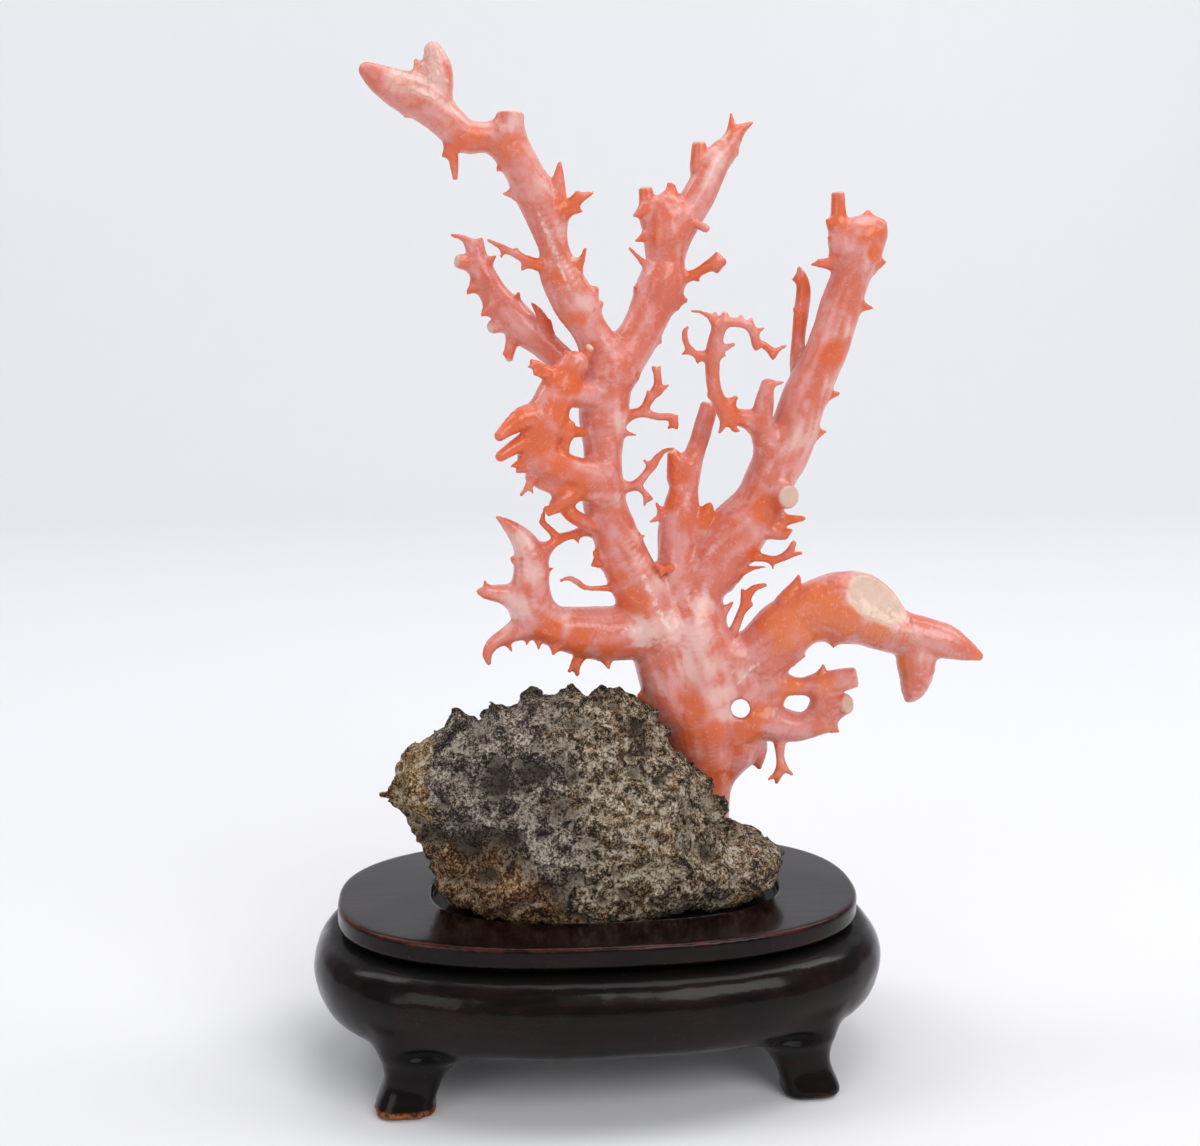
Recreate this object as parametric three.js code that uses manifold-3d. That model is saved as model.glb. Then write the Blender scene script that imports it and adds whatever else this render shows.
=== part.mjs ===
// A branching coral fixed in a rough rock, on a carved oval wooden stand.
// Millimetres, +Z up, the floor at z = 0 and the front of the coral facing -Y.

import * as THREE from "three";
import { mergeVertices } from "three/addons/utils/BufferGeometryUtils.js";
import Module from "manifold-3d";

const wasm = await Module();
wasm.setup();

// ---------------------------------------------------------------- driving dimensions

const GAP = 0.3; // room between pieces that touch
const OUTLINE_POWER = 2.475; // superellipse exponent of the stand's outline, seen from above

const PLATE = { halfWidth: 69, halfDepth: 41.4, top: 45, thickness: 5.8, edge: 1.2 };
const SEAT = { centre: [2, 1], halfWidth: 46.5, halfDepth: 26, depth: 2.4 };
const BASE = { halfWidth: 75.5, halfDepth: 47, widestAt: 28, bottom: 15.5, hollow: 3 };
const WAIST = { inset: 10.5, height: 1.6 };
const FOOT = { x: 50, y: 28.5, halfSize: 7.6, rise: 21 };

// The rock's sections from its foot up: height, left, right, front and back.
const ROCK_SECTIONS = [
  [42.9, -38, 38, -20.5, 20],
  [48, -41, 41, -22.5, 22],
  [54, -44, 41, -23.5, 23],
  [61, -46.5, 35.5, -23, 23],
  [68, -50.5, 30.5, -22, 22],
  [75.5, -53.5, 25, -20, 21],
  [82, -52, 20, -18, 19],
  [88, -43, 16.5, -15, 17],
  [93, -28, 14, -11, 15],
  [96.5, -21, 8, -7, 11],
  [98, -14, 4, -3, 7],
];
const ROCK_POWER = 2.6;
const ROCK_WAVE = 1.1; // depth of the hollows between the rock's lumps
const ROCK_LUMPS = [
  { centre: [37.5, -1, 51], radii: [11, 15, 7.5] },
  { centre: [-36.5, -1, 88], radii: [5, 6, 5.2] },
];

// ---------------------------------------------------------------- the coral's skeleton
// Each limb is a list of stations [x, y, z, radius]. Stubs end in a broken or sawn flat,
// limbs taper to a tip. A piece starts inside the one that it grows from. The thorns, a few
// millimetres long, are too small for these solids and are left off.

const CORAL = {
  coral_trunk: {
    limbs: [
      [[33.5, 12, 54, 3], [32.5, 12, 65, 4.6], [30.5, 11.5, 74, 6.5], [27.5, 11, 82, 7.6],
        [24.5, 10.5, 90, 8.2], [21.5, 10, 98, 8.8], [19.5, 10, 106, 9], [18, 10, 113, 8.5]],
      [[34, 12.5, 54, 2.8], [34, 12.5, 65, 3], [35.2, 12.5, 71, 4], [38, 12, 79, 6.6], [38.6, 12, 84, 7.2],
        [38, 11.5, 90, 8], [37, 11.5, 98, 8.2], [35.5, 12, 104, 8]],
      [[30, 11, 78, 8], [29, 10, 90, 9.5], [28, 10, 102, 10], [26.5, 10.5, 112, 9.5], [26, 11, 117, 8.5]],
      [[40, 12, 82, 5], [44, 12, 80, 3.6], [45.2, 12, 75.4, 1.8], [45.7, 12, 73.4, 0.8]],
      [[18, 9, 92, 4], [12.5, 8.5, 95, 1.2]],
      [[43.5, 9, 87, 2.4], [41.8, 6, 84, 0.5]],
      [[36.5, 10, 110, 1.4], [37.5, 8, 113, 1.3], [38.8, 7, 117, 1.1], [40, 7, 120, 1.1],
        [40.8, 7, 122.3, 1.2], [42.5, 7, 124.3, 0.9], [45.3, 6, 125.3, 0.6]],
    ],
    stubs: [],
  },
  coral_left_arm: {
    limbs: [
      [[19, 10, 112, 8.5], [12, 9, 112.6, 7.4], [4, 8, 112.6, 7.2], [-4, 7, 113.6, 6.4],
        [-11, 6, 115.2, 5.6], [-16, 5, 119, 5.6], [-17.5, 4, 125, 5], [-17.5, 4, 131, 4.6],
        [-18, 4, 136, 4], [-20.5, 4, 140, 2.8], [-24, 3, 143.5, 1.2], [-26, 3, 144.8, 0.4]],
      [[-18, 5, 122, 4.6], [-24, 3, 124.6, 2.7], [-29, 1, 125.5, 1.7], [-31, 0, 126, 0.6]],
      [[-17, 5, 116.5, 4], [-23.5, 3, 113.8, 2.2], [-27.5, 1, 111.8, 1.7], [-29, 0, 109.2, 1.3],
        [-28.6, 0, 107.2, 0.8]],
      [[-16, 4, 134, 3.2], [-12, 5, 137, 1.5], [-8.5, 7, 138.8, 1.3], [-5.4, 8, 139.4, 1.2],
        [-2, 9, 140.5, 1.9]],
      [[-10, 6, 138.6, 1.3], [-12, 5, 141, 1], [-14.2, 4, 143.3, 0.9], [-14, 3, 145.2, 0.6],
        [-13.4, 3, 147.5, 0.3]],
      [[-3, 7, 109, 2.4], [-5.3, 6, 105.3, 1.2], [-7.2, 5, 103.2, 0.5]],
    ],
    stubs: [],
  },
  coral_left_stem: {
    limbs: [
      [[15.5, 10, 114, 8.6], [13.5, 9.5, 121, 7.6], [9.8, 9, 129, 6.8], [5.6, 9, 138, 5.9],
        [3, 9, 146, 5.6], [2.4, 9, 154, 5.2], [2.2, 9, 162, 5.3], [2.2, 9.5, 170, 6.2],
        [3, 10, 178, 6.5], [4, 10, 185, 7.4], [4.8, 10.5, 189, 5]],
      [[6.5, 9, 124.8, 1.4], [1, 7, 125, 0.7], [-2.8, 6, 125.4, 0.7], [-4.8, 5, 127, 0.8],
        [-6.8, 5, 128.2, 0.7], [-9.4, 4, 127.8, 0.4]],
      [[7, 10, 169, 2], [9.6, 9, 170.6, 1.4], [12.6, 8, 171.6, 1.3], [14, 8, 174.5, 1.1],
        [16, 8, 177, 1.3], [16.4, 8, 180, 0.8], [15.2, 8, 182.8, 0.6]],
      [[13, 8, 171, 1.1], [16.5, 7, 170.1, 1], [19.8, 7, 170, 1], [20.8, 7, 168.3, 0.9],
        [21.3, 7, 167.2, 0.5]],
      [[6, 9, 151.8, 2.2], [9.4, 8, 151.8, 1.4], [11.4, 7, 153, 1.3], [13.4, 7, 155.4, 1.1],
        [15, 7, 157.4, 1.3], [16.4, 7, 159.6, 1], [18, 7, 161.2, 0.7], [20.3, 6, 161.9, 0.4]],
      [[11, 7, 151.9, 1], [13, 6, 150.2, 0.8], [13.8, 6, 148.8, 0.6]],
    ],
    stubs: [],
  },
  coral_front_cluster: {
    limbs: [
      [[1, 6, 154.5, 4.5], [-5, 3, 156, 4.2], [-10.5, 1, 158, 4.4], [-15, 0, 160.5, 4.6], [-17, 0, 163, 3.6]],
      [[-15.5, 0, 164, 4.4], [-13.4, 0, 170, 5], [-11, 1, 176, 4.6], [-8.2, 2, 181, 3.9],
        [-6, 2, 183.8, 3.5]],
      [[-14, 0, 170, 4.4], [-19, -3, 170.6, 3.1], [-23, -5, 168.4, 2], [-25.4, -7, 166.6, 1.4]],
      [[-15, 0, 165, 3.6], [-20.4, -3, 164, 2.1], [-25.2, -6, 161.4, 1.4]],
      [[-8.5, 1, 177, 3.4], [-3, 5, 176, 3.6], [1, 7, 175, 3.4]],
      [[2, 6, 150.5, 4], [-5, 4, 152.6, 3], [-12, 2, 153.2, 2.4], [-16.8, 1, 155.4, 1.8]],
      [[-6, 3, 151, 2.6], [-9.5, 1, 149, 2.8], [-12.7, -1, 146.2, 0.8]],
      [[-9, 2, 149.5, 2.6], [-6, 3, 146.2, 2.4], [-1, 6, 143.4, 2.4]],
      [[-9.2, 1, 171, 1.6], [-7.6, 0, 167.4, 1.2], [-8.6, 0, 163.6, 1.4], [-9, 1, 160, 1.6]],
    ],
    stubs: [[[-4, 3, 184, 1.6], [-2.6, 2, 187, 1.3], [-1.8, 1, 188.6, 1.2]]],
  },
  coral_upper_left: {
    limbs: [
      [[0, 12, 178, 3.2], [-4.6, 14, 181.4, 3.5], [-9.4, 15, 185.6, 3.8], [-13.4, 16, 189.2, 4],
        [-17.4, 17, 192.4, 4.3], [-21, 18, 196, 4.3], [-24.2, 18.5, 199.8, 4], [-26.8, 19, 203.8, 3.7],
        [-29.2, 19, 208.4, 3.4], [-30.4, 19, 212.4, 2.5], [-33, 19, 215.8, 1], [-36.4, 18, 216.6, 0.5]],
      [[-11.6, 15, 190, 1.8], [-12.8, 14, 194.4, 1.4], [-14.2, 14, 197.2, 1], [-15.9, 13, 199.2, 0.4]],
    ],
    stubs: [
      [[-30, 19, 209.2, 2.6], [-35.5, 17, 210.2, 1.8]],
      [[-20.8, 17, 190.4, 2], [-21.4, 16, 187.4, 1.3], [-22, 15, 184.2, 0.9]],
      [[-23, 18, 194.4, 2.6], [-27, 16, 192.7, 1.4]],
    ],
  },
  coral_top_left: {
    limbs: [
      [[3, 10, 186, 6.8], [-1, 9, 192.6, 5], [-5, 8, 199, 5.7], [-8.8, 7, 206, 5.1],
        [-10.6, 6, 212.8, 3.8], [-12.4, 5.5, 219, 4.7], [-15.4, 5, 226, 5.2], [-18.4, 4, 232, 4.7],
        [-21.4, 3, 237, 4.7], [-24, 3, 240.4, 4]],
      [[-22.8, 3, 239.2, 4.2], [-28, 2, 239.8, 3.7], [-33, 1, 240.6, 4.1], [-38.2, 0, 244.8, 4.5],
        [-42.8, -1, 248.8, 4.7], [-48.2, -2, 251.2, 3.9], [-53.4, -3, 253.6, 2.9], [-57.2, -3, 256.2, 1.3]],
      [[-39.4, 0, 246.6, 3.9], [-39.8, -1, 252.6, 3.3], [-40.2, -1, 258, 2.7], [-40.8, -2, 261.6, 1.1]],
      [[-11, 5, 221, 4], [-9.8, 4, 228, 2.4], [-9.3, 3, 234, 0.6]],
      [[-10.4, 5, 220.6, 3], [-6.6, 4, 223.6, 1.7], [-3.8, 3, 225.6, 1.2], [-1, 3, 226.6, 0.4]],
      [[-12.6, 6, 208.4, 1.8], [-16.8, 4, 209.5, 1.4], [-19.6, 3, 211, 1], [-22.6, 2, 212.4, 0.9],
        [-25, 1, 213.6, 0.7], [-27.6, 0, 214.8, 0.4]],
      [[-36, 1, 241.4, 2.4], [-36.4, 0, 237.4, 1.9], [-35.8, 0, 234.4, 1.3], [-35.4, 0, 229.8, 0.7]],
    ],
    stubs: [
      [[-22.2, 3, 238.6, 4.5], [-21.7, 2, 242.6, 3.8], [-21.6, 2, 246, 3.5]],
      [[-5.6, 6, 207.6, 1.5], [-5.7, 5, 210.6, 1]],
    ],
  },
  coral_top_right: {
    limbs: [
      [[6, 11, 185.5, 7], [11.5, 12, 191.6, 5.7], [15.3, 13, 197.6, 5.6], [18, 14, 204, 6.2],
        [19, 14.5, 210, 5.1], [19.2, 15, 216, 6], [19.4, 15.5, 221, 6]],
      [[20.5, 15, 216, 5], [24.6, 16, 222, 4.6], [28.5, 17, 228.8, 4.4], [31.7, 18, 235.7, 4.5],
        [34.5, 18.5, 240, 3.8]],
      [[34.2, 18.5, 238.6, 3.6], [37.1, 19, 242.2, 2.4], [36.9, 19, 245.6, 0.9], [36.7, 19, 248, 0.4]],
      [[36.8, 19, 240.6, 2.4], [39.3, 19, 244, 1.5], [42.3, 19, 245.8, 0.4]],
      [[22.4, 14, 205.2, 2], [26.8, 13, 206.9, 1.2], [30, 12, 208.8, 1.5], [32.4, 12, 209.8, 1.9],
        [33.6, 12, 209.8, 1.2]],
      [[14.4, 13, 208.4, 1.3], [11.8, 12, 210.8, 0.7], [9.3, 11, 213.2, 0.5]],
      [[24.6, 13, 221, 1.4], [26.6, 12, 219.6, 1], [29, 11, 218.4, 1.1]],
    ],
    stubs: [
      [[15.6, 15, 221, 3.4], [14.2, 15, 226, 2.1], [13.8, 15, 229, 1.8]],
      [[27.4, 17, 235, 3], [27.4, 17, 241.4, 1.9]],
    ],
  },
  coral_middle_stem: {
    limbs: [
      [[22, 12, 116, 8], [22.4, 12, 126, 6.4], [22.6, 12.5, 135, 5.4], [23.2, 13, 143, 5.2],
        [24.2, 13.5, 150, 4], [24.8, 14, 156, 3.8]],
      [[28, 12, 139, 3.6], [30, 11, 144, 2.2], [30.8, 10, 146.6, 0.7]],
      [[20.6, 8, 130.4, 1.4], [17.8, 5, 130, 0.9], [15.4, 4, 132, 0.5]],
    ],
    stubs: [
      [[25, 14, 154, 3.4], [28.2, 15, 162, 2.5], [29.9, 15.5, 167.4, 2.4], [31.5, 16, 173, 2.3]],
      [[23, 14, 154, 3.4], [21, 13, 160.8, 1.3]],
    ],
  },
  coral_right_stem: {
    limbs: [
      [[25.5, 11, 113, 8.5], [27.6, 12, 121, 6.7], [32, 12.5, 130.4, 7.4], [38.6, 13, 138.4, 8],
        [45, 13, 147, 7], [48.4, 12.5, 156, 6.6], [53, 12, 165, 6.2], [56, 11, 175, 5.8],
        [59.4, 10.5, 183, 5.8], [62.4, 10, 190, 5.6], [65.2, 10, 200, 5.3], [67, 9.5, 206, 5.2],
        [68.6, 9, 211, 5.8], [69.2, 9, 215.4, 6]],
      [[35, 12, 128, 5], [37.6, 11, 129.4, 3]],
      [[56.4, 14, 179, 3.2], [55, 15, 184, 2.4], [55.2, 16, 190, 1.9], [55.8, 16, 197, 2],
        [56.3, 16, 203, 1.9], [55.5, 16, 206.6, 1.4], [55, 16, 208.4, 0.6]],
      [[50, 12.5, 156, 6], [55.4, 12, 161, 3]],
      [[41, 11, 133, 2.4], [45, 9, 132.2, 1.1], [48.8, 8, 131.8, 1.1], [51.4, 7, 133.6, 1],
        [53, 7, 136.2, 0.9]],
      [[46.6, 10, 139.6, 2.6], [50.4, 8, 138.6, 1.7], [51.9, 7, 139.6, 0.8]],
      [[37.6, 10, 127.6, 1.6], [42.4, 8, 129.6, 0.6], [45.2, 7, 130, 0.4]],
    ],
    stubs: [
      [[65.4, 9, 212.6, 4.2], [63.7, 9, 219.6, 2.3], [63.2, 9, 227.8, 1.8]],
      [[70.2, 9, 214.4, 5], [72.8, 8, 217.6, 3.8], [76, 7.5, 218.4, 1.7]],
      [[46.6, 11, 149, 4.4], [49.6, 6, 149.2, 3.4], [50.8, 3, 149.2, 3]],
    ],
  },
  coral_hooked_branch: {
    limbs: [
      [[47.6, 11, 160, 4.6], [44.4, 9, 166, 3.2], [41, 8, 169, 2.7], [37, 7, 170, 2.2],
        [34.2, 6, 171.4, 2.4], [31.8, 5, 174.6, 2], [30.4, 4, 178.6, 1.8], [29.9, 3, 183, 1.8],
        [29.9, 2, 187, 1.9], [30.4, 1, 190.6, 1.8], [31.2, 0, 193.2, 1.7], [33.2, 0, 194.5, 1.4],
        [36.4, 0, 194.3, 1.2], [39, 0, 193.2, 1.1], [40.2, 0, 190.8, 1.1], [40.8, 0, 188.9, 1],
        [42.2, 0, 189, 0.9], [43.8, 0, 187.9, 0.9], [45, 0, 186.6, 0.9], [46.4, 0, 187.6, 0.6],
        [48.2, 0, 188.6, 0.3]],
      [[30.4, 1, 193.6, 1.2], [28.7, 1, 196, 0.8], [26.6, 1, 197, 0.5], [24, 1, 197.4, 0.3]],
      [[29.4, 3, 185.6, 1.6], [25.8, 2, 186.2, 1], [23.6, 1, 187.6, 0.8], [22.3, 0, 190, 0.8],
        [22.2, 0, 192.4, 0.7], [22.9, 0, 193.4, 0.4]],
      [[43.6, 8, 168, 3], [44.4, 7, 174, 2.4], [44.9, 6, 178, 1.8]],
    ],
    stubs: [[[32, 0, 194.6, 1.3], [32.6, 0, 197.3, 0.8]]],
  },
  coral_claw_arm: {
    limbs: [
      [[36, 11, 103, 7.4], [43, 11, 105, 7.1], [50, 10, 111.2, 7.7], [56, 10, 115.4, 7.6],
        [62, 9, 117.6, 8.4], [68, 8, 118, 9.6], [73.5, 8, 116.6, 9], [79, 7, 113.4, 6.8],
        [84, 6, 111.6, 5.7], [89, 5, 110.6, 5.5], [94, 4, 109.4, 4.8], [99, 3, 107.4, 3.2],
        [103, 2, 105.6, 1.4]],
      [[86.8, 6, 108, 5.2], [87.2, 5, 101.6, 5.1], [86.2, 4, 96.6, 3.5], [84.8, 4, 93.8, 1.3]],
      [[52, 9, 120, 3], [54, 9, 124, 1.6], [54.8, 8, 127, 0.6]],
      [[46, 10, 104, 6.5], [52, 10, 107, 4.5]],
    ],
    stubs: [[[68, 8, 116, 8.6], [70.6, 5, 121.6, 8], [72.4, 3.4, 124.4, 7.6]]],
  },
  coral_lower_hand: {
    limbs: [
      [[37, 11, 92, 8], [43, 10, 97, 6], [49, 9, 97.4, 4], [55, 9, 96.6, 2.5], [61, 8, 96.8, 3]],
      [[38, 11, 86, 7], [44, 10, 88, 6.4], [50, 9, 86.4, 4.8], [56, 8, 85.6, 4], [61.6, 7.5, 87.6, 4.2],
        [64, 7, 90, 3.6]],
      [[61, 8, 96, 3.2], [63, 7.5, 91, 3.2]],
      [[45, 10, 92, 5], [48.6, 9.5, 93.4, 3.4]],
      [[50.4, 8, 83, 2], [50.4, 7, 78, 1.1], [50.6, 6, 75, 1.3], [49.8, 6, 72.8, 1], [49.4, 6, 70.6, 0.5]],
    ],
    stubs: [
      [[60, 8, 97, 3.2], [66.4, 7, 98.6, 3.2], [71, 6, 99.6, 2.6]],
      [[62, 7.5, 90, 4], [66, 5, 92, 3.2], [68.2, 3, 92.8, 2.6]],
    ],
  },
};

// ---------------------------------------------------------------- making solids

// A unit cylinder of the given sides and levels, each vertex carried to where place puts it.
// place gets the vertex's level, from 0 at the start to the last, and its two cross axes.
function carried(sides, levels, place) {
  const shape = new THREE.CylinderGeometry(1, 1, 1, sides, levels);
  const at = shape.attributes.position;
  for (let i = 0; i < at.count; i++) {
    const level = Math.round((at.getY(i) + 0.5) * levels);
    const [x, y, z] = place(level, at.getX(i), at.getZ(i));
    at.setXYZ(i, x, y, z);
  }
  return solid(shape);
}

// A closed geometry as a solid that can be joined and cut.
function solid(geometry) {
  geometry.deleteAttribute("normal");
  geometry.deleteAttribute("uv");
  const merged = mergeVertices(geometry, 1e-4);
  const vertProperties = new Float32Array(merged.attributes.position.array);
  const triVerts = new Uint32Array(merged.index.array);
  return new wasm.Manifold(new wasm.Mesh({ numProp: 3, vertProperties, triVerts }));
}

// The largest body of a solid, so that a cut leaves no loose crumbs.
function largest(whole) {
  return whole.decompose().reduce((a, b) => (a.volume() > b.volume() ? a : b));
}

function joined(solids) {
  return solids.reduce((a, b) => a.add(b));
}

function meshOf(name, whole, material) {
  const found = whole.getMesh();
  const geometry = new THREE.BufferGeometry();
  geometry.setAttribute("position", new THREE.BufferAttribute(found.vertProperties, 3));
  geometry.setIndex(new THREE.BufferAttribute(found.triVerts, 1));
  geometry.computeVertexNormals();
  const mesh = new THREE.Mesh(geometry, material);
  mesh.name = name;
  return mesh;
}

// A tapered tube through its stations, made thicker all round by grow.
function limb(stations, sides, grow = 0) {
  const points = stations.map(([x, y, z]) => new THREE.Vector3(x, y, z));
  const path = new THREE.CatmullRomCurve3(points);
  const last = stations.length - 1;
  let across = new THREE.Vector3(0.2, 1, 0.1);
  const rings = stations.map((station, i) => {
    const along = path.getTangent(i / last);
    across = across.clone().addScaledVector(along, -across.dot(along)).normalize();
    const other = new THREE.Vector3().crossVectors(across, along);
    return { centre: points[i], across, other, radius: station[3] + grow };
  });
  return carried(sides, last, (level, u, v) => {
    const { centre, across: a, other: b, radius } = rings[level];
    const p = centre.clone().addScaledVector(a, u * radius).addScaledVector(b, v * radius);
    return [p.x, p.y, p.z];
  });
}

// A circle's sine or cosine carried out to a superellipse.
function rounded(t, power = OUTLINE_POWER) {
  return Math.sign(t) * Math.abs(t) ** (2 / power);
}

// A closed stack of flat outlines: one [half width, half depth, height] for each level.
function stack(outlines, sides, centre = [0, 0]) {
  return carried(sides, outlines.length - 1, (level, u, v) => {
    const [halfWidth, halfDepth, z] = outlines[level];
    return [centre[0] + halfWidth * rounded(u), centre[1] - halfDepth * rounded(v), z];
  });
}

// ---------------------------------------------------------------- the coral

const STOUT = { over: 3, sides: 6 };
const MIDDLING = { over: 2, sides: 5 };
const SLENDER_SIDES = 4;

// A stout limb is rounder than a slender one.
function limbSides(stations) {
  const thickest = Math.max(...stations.map((station) => station[3]));
  if (thickest > STOUT.over) return STOUT.sides;
  return thickest > MIDDLING.over ? MIDDLING.sides : SLENDER_SIDES;
}

// All the limbs of one coral piece, each thicker by grow.
function branch({ limbs, stubs }, grow = 0) {
  const all = [...limbs, ...stubs];
  return joined(all.map((stations) => limb(stations, limbSides(stations), grow)));
}

// Each piece is cut clear of all those before it, so that forks meet face to face.
function coralSolids() {
  const made = {};
  const before = [];
  for (const [name, limbs] of Object.entries(CORAL)) {
    const clear = before.reduce((rest, grown) => rest.subtract(grown), branch(limbs));
    made[name] = largest(clear);
    before.push(branch(limbs, GAP));
  }
  return made;
}

// ---------------------------------------------------------------- the rock

const ROCK_SIDES = 22;

function rockSolid() {
  const body = carried(ROCK_SIDES, ROCK_SECTIONS.length - 1, (level, u, v) => {
    const [z, left, right, front, back] = ROCK_SECTIONS[level];
    const edge = Math.hypot(u, v);
    const turn = Math.atan2(v, u);
    const wave = ROCK_WAVE * edge * Math.sin(5 * turn + 0.13 * z) * Math.sin(0.21 * z + 2 * turn);
    const x = (left + right) / 2 + ((right - left) / 2 - wave) * rounded(u, ROCK_POWER);
    const y = (front + back) / 2 - ((back - front) / 2 - wave) * rounded(v, ROCK_POWER);
    return [x, y, z];
  });
  const lumps = ROCK_LUMPS.map(({ centre, radii }) => {
    const ball = new THREE.SphereGeometry(1, 9, 6);
    ball.scale(...radii).translate(...centre);
    return solid(ball);
  });
  return joined([body, ...lumps]);
}

// ---------------------------------------------------------------- the stand

const STAND_SIDES = 32;
const SEAT_SIDES = 20;
const FOOT_SIDES = 8;

function standTop() {
  const { halfWidth, halfDepth, top, thickness, edge } = PLATE;
  const rim = (inset, z) => [halfWidth - inset, halfDepth - inset, z];
  const plate = stack(
    [
      rim(edge, top - thickness),
      rim(0.3 * edge, top - thickness + 0.3 * edge),
      rim(0, top - thickness + edge),
      rim(0, top - edge),
      rim(0.3 * edge, top - 0.3 * edge),
      rim(edge, top),
    ],
    STAND_SIDES,
  );
  const seat = stack(
    [
      [SEAT.halfWidth - 1, SEAT.halfDepth - 1, top - SEAT.depth],
      [SEAT.halfWidth, SEAT.halfDepth, top + 1],
    ],
    SEAT_SIDES,
    SEAT.centre,
  );
  return plate.subtract(seat);
}

// The bulging apron under the waist, from its bottom edge up.
function apron() {
  const { halfWidth, halfDepth, widestAt, bottom, hollow } = BASE;
  const top = PLATE.top - PLATE.thickness - GAP;
  const shoulder = top - WAIST.height;
  const rim = (inset, z) => [halfWidth - inset, halfDepth - inset, z];
  const outlines = [
    rim(6, bottom),
    rim(2.8, bottom + 3.4),
    rim(0.4, widestAt - 4),
    rim(0.4, widestAt + 3.4),
    rim(2.8, shoulder - 2),
    rim(WAIST.inset, shoulder),
    rim(WAIST.inset, top),
  ];
  const pocket = stack([rim(14, bottom - 1), rim(15, bottom + hollow)], SEAT_SIDES);
  return stack(outlines, STAND_SIDES).subtract(pocket);
}

// One foot, from the toe on the floor up into the apron: it flares out at both ends.
function foot(sideX, sideY) {
  const { x, y, halfSize, rise } = FOOT;
  const sections = [
    [halfSize - 0.8, 0, 0],
    [halfSize, 0.8, 2],
    [halfSize - 0.5, 0.3, 7],
    [halfSize + 0.8, -0.4, 12.5],
    [halfSize + 4, -1.5, 16],
    [halfSize + 4.5, -2.5, rise],
  ];
  return carried(FOOT_SIDES, sections.length - 1, (level, u, v) => {
    const [half, outward, z] = sections[level];
    const middleX = sideX * (x + outward);
    const middleY = sideY * (y + outward);
    return [middleX + half * rounded(u), middleY - half * rounded(v), z];
  });
}

function standBase() {
  const feet = [-1, 1].flatMap((sideX) => [-1, 1].map((sideY) => foot(sideX, sideY)));
  return joined([apron(), ...feet]);
}

// ---------------------------------------------------------------- the object

const coralFinish = new THREE.MeshStandardMaterial({ color: 0xe2735a, roughness: 0.3 });
const rockFinish = new THREE.MeshStandardMaterial({ color: 0x77705f, roughness: 0.95 });
const woodFinish = new THREE.MeshStandardMaterial({ color: 0x241412, roughness: 0.35 });

const object = new THREE.Group();
const coral = coralSolids();
for (const [name, whole] of Object.entries(coral)) object.add(meshOf(name, whole, coralFinish));

const socket = branch(CORAL.coral_trunk, GAP);
object.add(meshOf("rock", largest(rockSolid().subtract(socket)), rockFinish));
object.add(meshOf("stand_top", standTop(), woodFinish));
object.add(meshOf("stand_base", standBase(), woodFinish));

// The origin is on the floor, under the middle of the whole object's bounding box.
const middle = new THREE.Box3().setFromObject(object).getCenter(new THREE.Vector3());
object.position.set(-middle.x, -middle.y, 0);

export default object;
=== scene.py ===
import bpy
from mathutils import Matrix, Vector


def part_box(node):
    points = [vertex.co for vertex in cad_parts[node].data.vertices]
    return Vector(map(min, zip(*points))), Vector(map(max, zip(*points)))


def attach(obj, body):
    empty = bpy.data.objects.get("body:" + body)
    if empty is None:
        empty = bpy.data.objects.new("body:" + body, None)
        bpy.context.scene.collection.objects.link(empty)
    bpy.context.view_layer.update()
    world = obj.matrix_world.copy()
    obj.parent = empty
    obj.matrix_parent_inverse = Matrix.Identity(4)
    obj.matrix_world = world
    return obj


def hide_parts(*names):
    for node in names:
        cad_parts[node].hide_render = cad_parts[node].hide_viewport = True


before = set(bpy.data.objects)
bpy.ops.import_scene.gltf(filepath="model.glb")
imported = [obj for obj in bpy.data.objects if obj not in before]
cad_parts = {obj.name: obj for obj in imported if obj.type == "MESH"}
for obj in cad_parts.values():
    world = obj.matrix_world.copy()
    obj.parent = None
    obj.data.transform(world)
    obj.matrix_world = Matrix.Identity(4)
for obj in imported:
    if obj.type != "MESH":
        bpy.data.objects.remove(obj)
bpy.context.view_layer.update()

import copy
import math

import bpy
import numpy as np
import openvdb
from mathutils import Vector

# A branching coral fixed in a rough rock, on a carved and lacquered wooden stand.
# Shapes are worked out in millimetres, with x = y = 0 at the middle of the stand and the
# front facing -Y. in_row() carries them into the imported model's frame, in metres.

MM = 0.001
STAND_LOW, STAND_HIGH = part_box("stand_top")
STAND_MIDDLE = (STAND_LOW + STAND_HIGH) / 2
SHIFT = np.array([STAND_MIDDLE.x, STAND_MIDDLE.y, 0.0])


def in_row(points):
    """Millimetres about the stand's middle to the model's metres."""
    return np.asarray(points, float) * MM + SHIFT


def from_row(points):
    """The model's metres to millimetres about the stand's middle."""
    return (np.asarray(points, float) - SHIFT) / MM


# ---------------------------------------------------------------- the coral's skeleton
# Each limb is a list of stations (x, y, z, radius). Stubs end in a broken or sawn flat,
# limbs and thorns taper to a tip. The dictionary's order is the order of the CAD pieces.

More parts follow.
